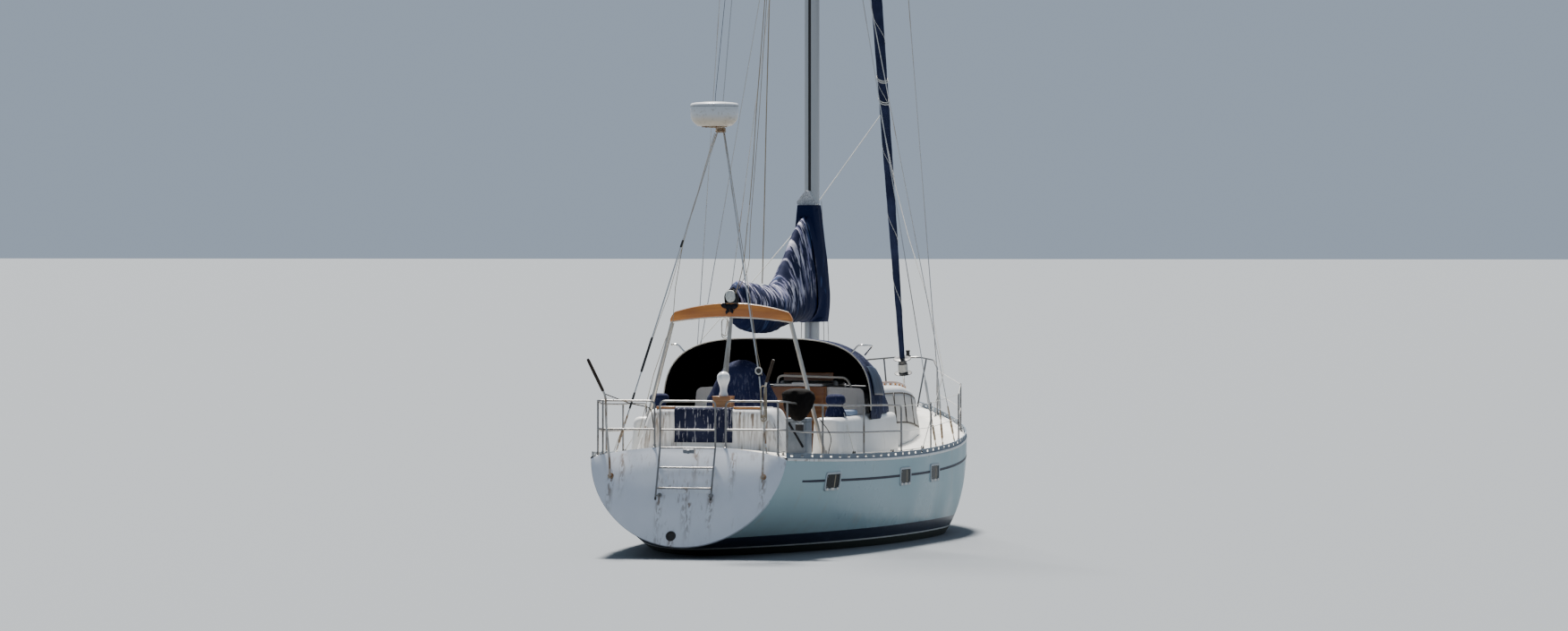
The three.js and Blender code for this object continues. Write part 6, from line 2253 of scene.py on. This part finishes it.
shaft_way = Vector((cos(radians(6)), 0, sin(radians(6))))
hub = Vector((-4.47, 0, -0.68))
bronze = Finish("bronze", roughness=0.38, metallic=0.9)
bronze.tones((0.48, 0.3, 0.12), (0.2, 0.2, 0.13), 12, 5, limits=(0.44, 0.72))
boss_marks = [(0.0608, 0.03), (0.066, 0.038), (0.16, 0.038), (0.166, 0.03), (0.17, 0.019), (1.45, 0.019)]
shaft = tubes("shaft_and_boss", [stepped(hub, shaft_way, boss_marks)], bronze, 24)
fit(shaft, "bronze", "prop_shaft")
strut_rings = foil_shape([[-0.66, -4.305, -4.395, 0.013], [-0.2, -4.245, -4.375, 0.0165]], 5)
fit(made("shaft_strut", [solid(strut_rings)], bronze), "bronze")

blade_rings = []
for r in np.linspace(0.03, 0.229, 16):
    half = np.interp(
        r, [0.02, 0.06, 0.11, 0.15, 0.19, 0.215, 0.23], [0.036, 0.056, 0.075, 0.077, 0.063, 0.045, 0.02]
    )
    twist = np.interp(r, [0.02, 0.11, 0.19, 0.23], [1.0, 0.75, 0.5, 0.4])
    ring = []
    for a in angles(20):
        u, v = half * cos(a), 0.0062 * sin(a) * (1.25 - 3.2 * r)
        ring.append((u * sin(twist) + v * cos(twist), u * cos(twist) - v * sin(twist), r))
    blade_rings.append(ring)
blade_ways = []
for k in range(3):
    turned_by = Matrix.Rotation(2 * pi * k / 3, 4, "X")
    tilt = Matrix.Rotation(-radians(6), 4, "Y")
    blade_ways.append((tuple(hub), tuple(shaft_way), tuple((tilt @ turned_by) @ Vector((0, 0, 1)))))
blades = laid_out("propeller_blades", [solid(blade_rings)], blade_ways, bronze)
fit(blades, "bronze", body="propeller")
hub_marks = [
    (-0.105, 0.01), (-0.1, 0.02), (-0.062, 0.025), (-0.06, 0.034), (-0.045, 0.042), (0.05, 0.042),
    (0.0598, 0.036),
]
hub_piece = tubes("propeller_hub", [stepped(hub, shaft_way, hub_marks)], bronze, 28)
fit(hub_piece, "bronze", "propeller", body="propeller")


# Running rigging. Three-strand and braided ropes: the headsail's sheets from the furled sail through lead
# blocks on the side decks to the winches, halyards by the mast, and the topping lift to the boom's end.
rope_tan = canvas("rope_tan", (0.3, 0.25, 0.18), (0.5, 0.44, 0.34), weave=1400)
rope_dark = canvas("rope_dark", (0.02, 0.017, 0.015), (0.075, 0.06, 0.05), weave=1400)
lead_xs = (-0.35, -1.95, -3.62)


def beside_rail(x, sign, rise, inset=0.13):
    y = half_breadth(x) - inset
    return Vector((x, sign * y, deck_top(x, y) + rise))


sheet_routes = {
    "port": [
        (4.95, 0.053, 6.08), (3.6, 0.625, 4.846), (2.9, 0.884, 4.305), (1.8, 1.249, 3.577),
        (0.6, 1.668, 2.776),
    ],
    "starboard": [
        (4.95, 0.039, 6.067), (3.9, -0.414, 5.07), (3.0, -0.827, 4.291), (1.7, -1.487, 3.171),
        (0.8, -1.86, 2.33),
    ],
}
for side, sign in both_sides:
    leads = [beside_rail(x, sign, 0.055) for x in lead_xs]
    up_to_winch = Vector((-3.26, sign * 1.39, 1.86))
    route = bend([*sheet_routes[side], *leads, up_to_winch], 0.05, 4)
    fit(tubes(f"headsail_sheet_{side}", [(0.0065, route)], rope_white, 8), "white_plastic")
    blocks = []
    for spot in leads:
        for inset in (-0.013, 0.013):
            blocks.append(turned(
                [(0, -0.004), (0.034, -0.004), (0.036, 0), (0.034, 0.004), (0, 0.004)],
                spot + Vector((-0.01, inset, -0.004)), (0, 1, 0), 20,
            ))
        blocks.append(turned(
            [(0, -0.01), (0.026, -0.01), (0.021, 0), (0.026, 0.01), (0, 0.01)],
            spot + Vector((-0.01, 0, -0.03)), (0, 1, 0), 16,
        ))
        blocks.append(cast(
            spot.x - 0.075, spot.x + 0.055, spot.y - 0.022, spot.y + 0.022, spot.z - 0.058, spot.z - 0.03,
            0.012, 0.005,
        ))
    fit(made(f"lead_blocks_{side}", blocks, dark_rubber), "black_canvas")

lift_route = [
    (0.3, -0.06, 20.03), (-1.25, -0.13, 13.4), (-2.9, -0.182, 7.527), (-3.45, -0.196, 5.915),
    (-3.65, -0.21, 5.313), (-3.8, -0.198, 4.7), (-3.85, -0.18, 4.456), (-3.98, -0.157, 3.847),
    (-4.085, -0.075, 3.5),
]
second_route = [
    (0.31, -0.075, 20.03), (-1.6, -0.17, 12.0), (-3.4, -0.228, 5.916), (-3.75, -0.223, 4.786),
    (-3.85, -0.211, 4.298), (-3.95, -0.237, 3.847), (-4.0, -0.1, 3.56),
]
halyard_route = [
    (0.29, 0.035, 20.03), (-0.95, 0.02, 12.2), (-1.9, 0.01, 7.563), (-2.15, -0.01, 5.939),
    (-2.3, -0.022, 4.721), (-2.4, -0.016, 3.62),
]
splice_route = [(-3.8, -0.198, 4.7), (-3.805, -0.196, 4.67), (-3.845, -0.182, 4.48), (-3.85, -0.18, 4.456)]
for name, thick, route, finish in (
    ("topping_lift", 0.0065, bend(lift_route, 0.3, 4), rope_tan),
    ("boom_lift_tail", 0.0045, bend(second_route, 0.3, 4), rope_tan),
    ("main_halyard", 0.0085, bend(halyard_route, 0.3, 4), rope_tan),
    ("lift_splice", [0.008, 0.0105, 0.0105, 0.008], splice_route, splice_white),
):
    line = tubes(name, [(thick, route)], finish, 8)
    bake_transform(line)
mast_lines = [
    (0.0055, [(x, 0.55 * y, 4.78), (x, y, 3.05), (x, y * 1.12, foot_z)])
    for y, x, foot_z in (
        (0.163, 0.56, 2.24), (0.135, 0.44, 2.24), (-0.175, 0.5, 2.24), (-0.215, 0.6, 2.22)
    )
]
fit(tubes("mast_halyards", mast_lines, rope_white, 8), "white_plastic")


# Cables and tail ropes of the backstay. The scanner's cable comes down the stay, and thin tail ropes run
# beside the legs to cleats on the quarters; a small block with a white ring rides on the starboard leg.
scanner_cable = [
    (0.235, 0.03, 20.0), (-2.4, 0.06, 12.4), (-4.1, 0.07, 7.5), (-4.62, 0.07, 6.15), (-4.7, 0.05, 5.8)
]
fit(tubes("scanner_cable", [(0.0035, scanner_cable)], rope_dark, 6), "black_canvas")
tail_routes = [
    (
        0.005,
        [
            (-4.6, 0.07, 5.66), (-4.6, 0.526, 4.188), (-4.9, 0.554, 3.583), (-5.05, 0.553, 3.077),
            (-5.2, 0.61, 2.886), (-5.6, 0.663, 2.435), (-6.05, 0.76, 1.6),
        ],
    ),
    (
        0.004,
        [
            (-4.6, 0.085, 5.67), (-4.9, 0.648, 3.486), (-5.1, 0.73, 3.138), (-5.6, 0.85, 2.41),
            (-5.9, 0.954, 1.876), (-6.15, 1.07, 1.4),
        ],
    ),
    (0.0045, [(-4.615, -0.06, 5.67), (-5.25, -0.5, 3.95), (-5.72, -0.8, 2.72), (-5.86, -0.9, 2.42)]),
]
fit(tubes("backstay_tail_ropes", tail_routes, rope_tan, 6), "white_plastic")
quarter_line = bend(
    [(-6.335, 1.135, 2.17), (-5.9, 0.93, 2.04), (-5.52, 0.72, 1.97), (-5.46, 0.7, 1.66)], 0.1, 4
)
fit(tubes("quarter_line", [(0.007, quarter_line)], rope_dark, 8), "black_canvas")
ring_spot = kinks["starboard"] + Vector((-0.03, 0, 0.06))
block_ring = [ring_spot + Vector((0, 0.042 * cos(a), 0.042 * sin(a))) for a in np.linspace(0, 2 * pi, 25)]
fit(tubes("backstay_block_ring", [(0.009, block_ring)], splice_white, 10), "white_plastic")
fit(
    made(
        "backstay_block",
        [turned(
            [(0, -0.012), (0.028, -0.012), (0.031, 0), (0.028, 0.012), (0, 0.012)], ring_spot, (1, 0, 0), 20
        )],
        dark_rubber,
    ),
    "black_canvas",
)


# Coiled and loose ropes. Each is one real length of soft rope: a hank hung on the starboard pole, one hung
# under the beam, and a dark line lying along the starboard side deck.
def hank(top, half, drop, turns, pitch, steps=72):
    """Turns of rope hung over one point, round at both ends, some longer and some shorter."""
    route = []
    for k in range(int(turns * steps) + 1):
        t = k / steps
        r = half * (1 + 0.15 * sin(1.7 * t + 1))
        straight = drop * (1 + 0.1 * sin(2.3 * t)) - 2 * r
        quarter = pi * r / 2
        s = (t % 1) * (2 * straight + 4 * quarter)
        if s < quarter:
            y, z = r * sin(s / r), r * cos(s / r) - r
        elif s < quarter + straight:
            y, z = r, quarter - r - s
        elif s < 3 * quarter + straight:
            b = (s - quarter - straight) / r
            y, z = r * cos(b), -r - straight - r * sin(b)
        elif s < 3 * quarter + 2 * straight:
            y, z = -r, s - 3 * quarter - 2 * straight - r
        else:
            b = (s - 3 * quarter - 2 * straight) / r
            y, z = -r * cos(b), r * sin(b) - r
        route.append(top + Vector((-pitch * t, y + 0.2 * half * sin(0.9 * t), z)))
    return route


side_line = bend(
    [
        (-5.52, -1.6, 1.84), (-5.1, -1.68, 1.6),
        *(
            beside_rail(x, -1, 0.018, inset)
            for x, inset in ((-4.55, 0.16), (-4.2, 0.24), (-3.3, 0.2), (-2.6, 0.26), (-2.1, 0.2))
        ),
    ],
    0.25, 8,
)
cords = (
    (
        "pole_rope_hank", hank(Vector((-6.365, -1.06, 2.29)), 0.036, 0.43, 6, 0.0125), 0.0105, rope_tan,
        "coiled",
    ),
    (
        "beam_rope_hank", hank(Vector((-3.872, 0.12, 3.155)), 0.045, 0.25, 5, 0.0125), 0.0105, rope_white,
        "coiled",
    ),
    ("side_deck_line", side_line, 0.011, rope_dark, "loose"),
)
for name, route, wide, finish, lay in cords:
    rope = tubes(name, [(wide / 2, route)], finish, 10)
    fit(rope, "white_plastic" if finish is not rope_dark else "black_canvas")


# Deck hardware. Horn cleats at the quarters, amidships and at the bow, a low capstan windlass on the
# foredeck, a blue-grey pad on the starboard coaming, and the grill's bracket and clamp.
cleat_parts = [
    cast(-0.05, 0.05, -0.018, 0.018, 0, 0.012, 0.008, 0.003),
    cast(-0.03, -0.014, -0.009, 0.009, 0.01, 0.04, 0.004, 0.003),
    cast(0.014, 0.03, -0.009, 0.009, 0.01, 0.04, 0.004, 0.003),
]
horn_rings = []
for x, radius in (
    (-0.105, 0.004), (-0.1, 0.007), (-0.04, 0.0105), (0.04, 0.0105), (0.1, 0.007), (0.105, 0.004)
):
    horn_rings.append([
        (x, radius * cos(a), 0.044 + 0.18 * abs(x) ** 1.5 + 0.8 * radius * sin(a))
        for a in angles(12)
    ])
cleat_parts.append(solid(horn_rings))
cleat_spots = []
for sign in (1, -1):
    for x, inset in ((-5.95, 0.2), (-0.9, 0.15), (5.25, 0.16)):
        y = half_breadth(x) - inset
        cleat_spots.append(((x, sign * y, deck_top(x, y) + 0.0008), (1, 0, 0), (0, 0, 1)))
fit(laid_out("deck_cleats", cleat_parts, cleat_spots, steel), "stainless")
windlass_z = deck_top(5.1, 0)
windlass_parts = [
    cast(4.98, 5.26, -0.1, 0.1, windlass_z - 0.002, windlass_z + 0.03, 0.05, 0.008),
    turned(
        [
            (0, 0), (0.062, 0), (0.058, 0.02), (0.048, 0.05), (0.05, 0.085), (0.066, 0.11),
            (0.062, 0.125), (0.02, 0.13), (0, 0.13),
        ],
        (5.08, 0, windlass_z + 0.028), steps=32,
    ),
    turned(
        [(0, 0), (0.045, 0), (0.045, 0.05), (0.03, 0.06), (0, 0.06)], (5.2, 0, windlass_z + 0.028), steps=24
    ),
]
fit(made("windlass", windlass_parts, steel), "stainless")
pad_blue = canvas("pad_blue_grey", (0.2, 0.26, 0.36), (0.34, 0.4, 0.5))
pad_rings = []
for z, inset in ((1.8015, 0.02), (1.812, 0.004), (1.84, 0.0), (1.866, 0.006), (1.876, 0.03)):
    ring = []
    for p in rounded_outline(0.56 - 2 * inset, 0.19 - 2 * inset, 0.05):
        crown = 0.01 * cos(p.x / 0.3 * pi / 2) * (z > 1.85)
        ring.append((-2.55 + p.x, -1.26 + p.y, z + crown + 0.003 * crease((p.x, p.y, z), 6, 4)))
    pad_rings.append(ring)
coaming_pad = made("coaming_pad", [solid(pad_rings)], pad_blue, crease=60)
fit(coaming_pad, "navy_canvas")
grill_holder = [
    cast(-5.63, -5.59, -1.4, -1.3, 1.76, 1.79, 0.008, 0.003),
    cast(-5.62, -5.6, -1.375, -1.335, 1.785, 1.815, 0.006, 0.003),
]
fit(made("grill_bracket", grill_holder, steel), "stainless")
fit(
    made("grill_clamp", [cast(-5.64, -5.585, -1.405, -1.3, 1.66, 1.762, 0.012, 0.006)], dark_rubber),
    "black_canvas",
)
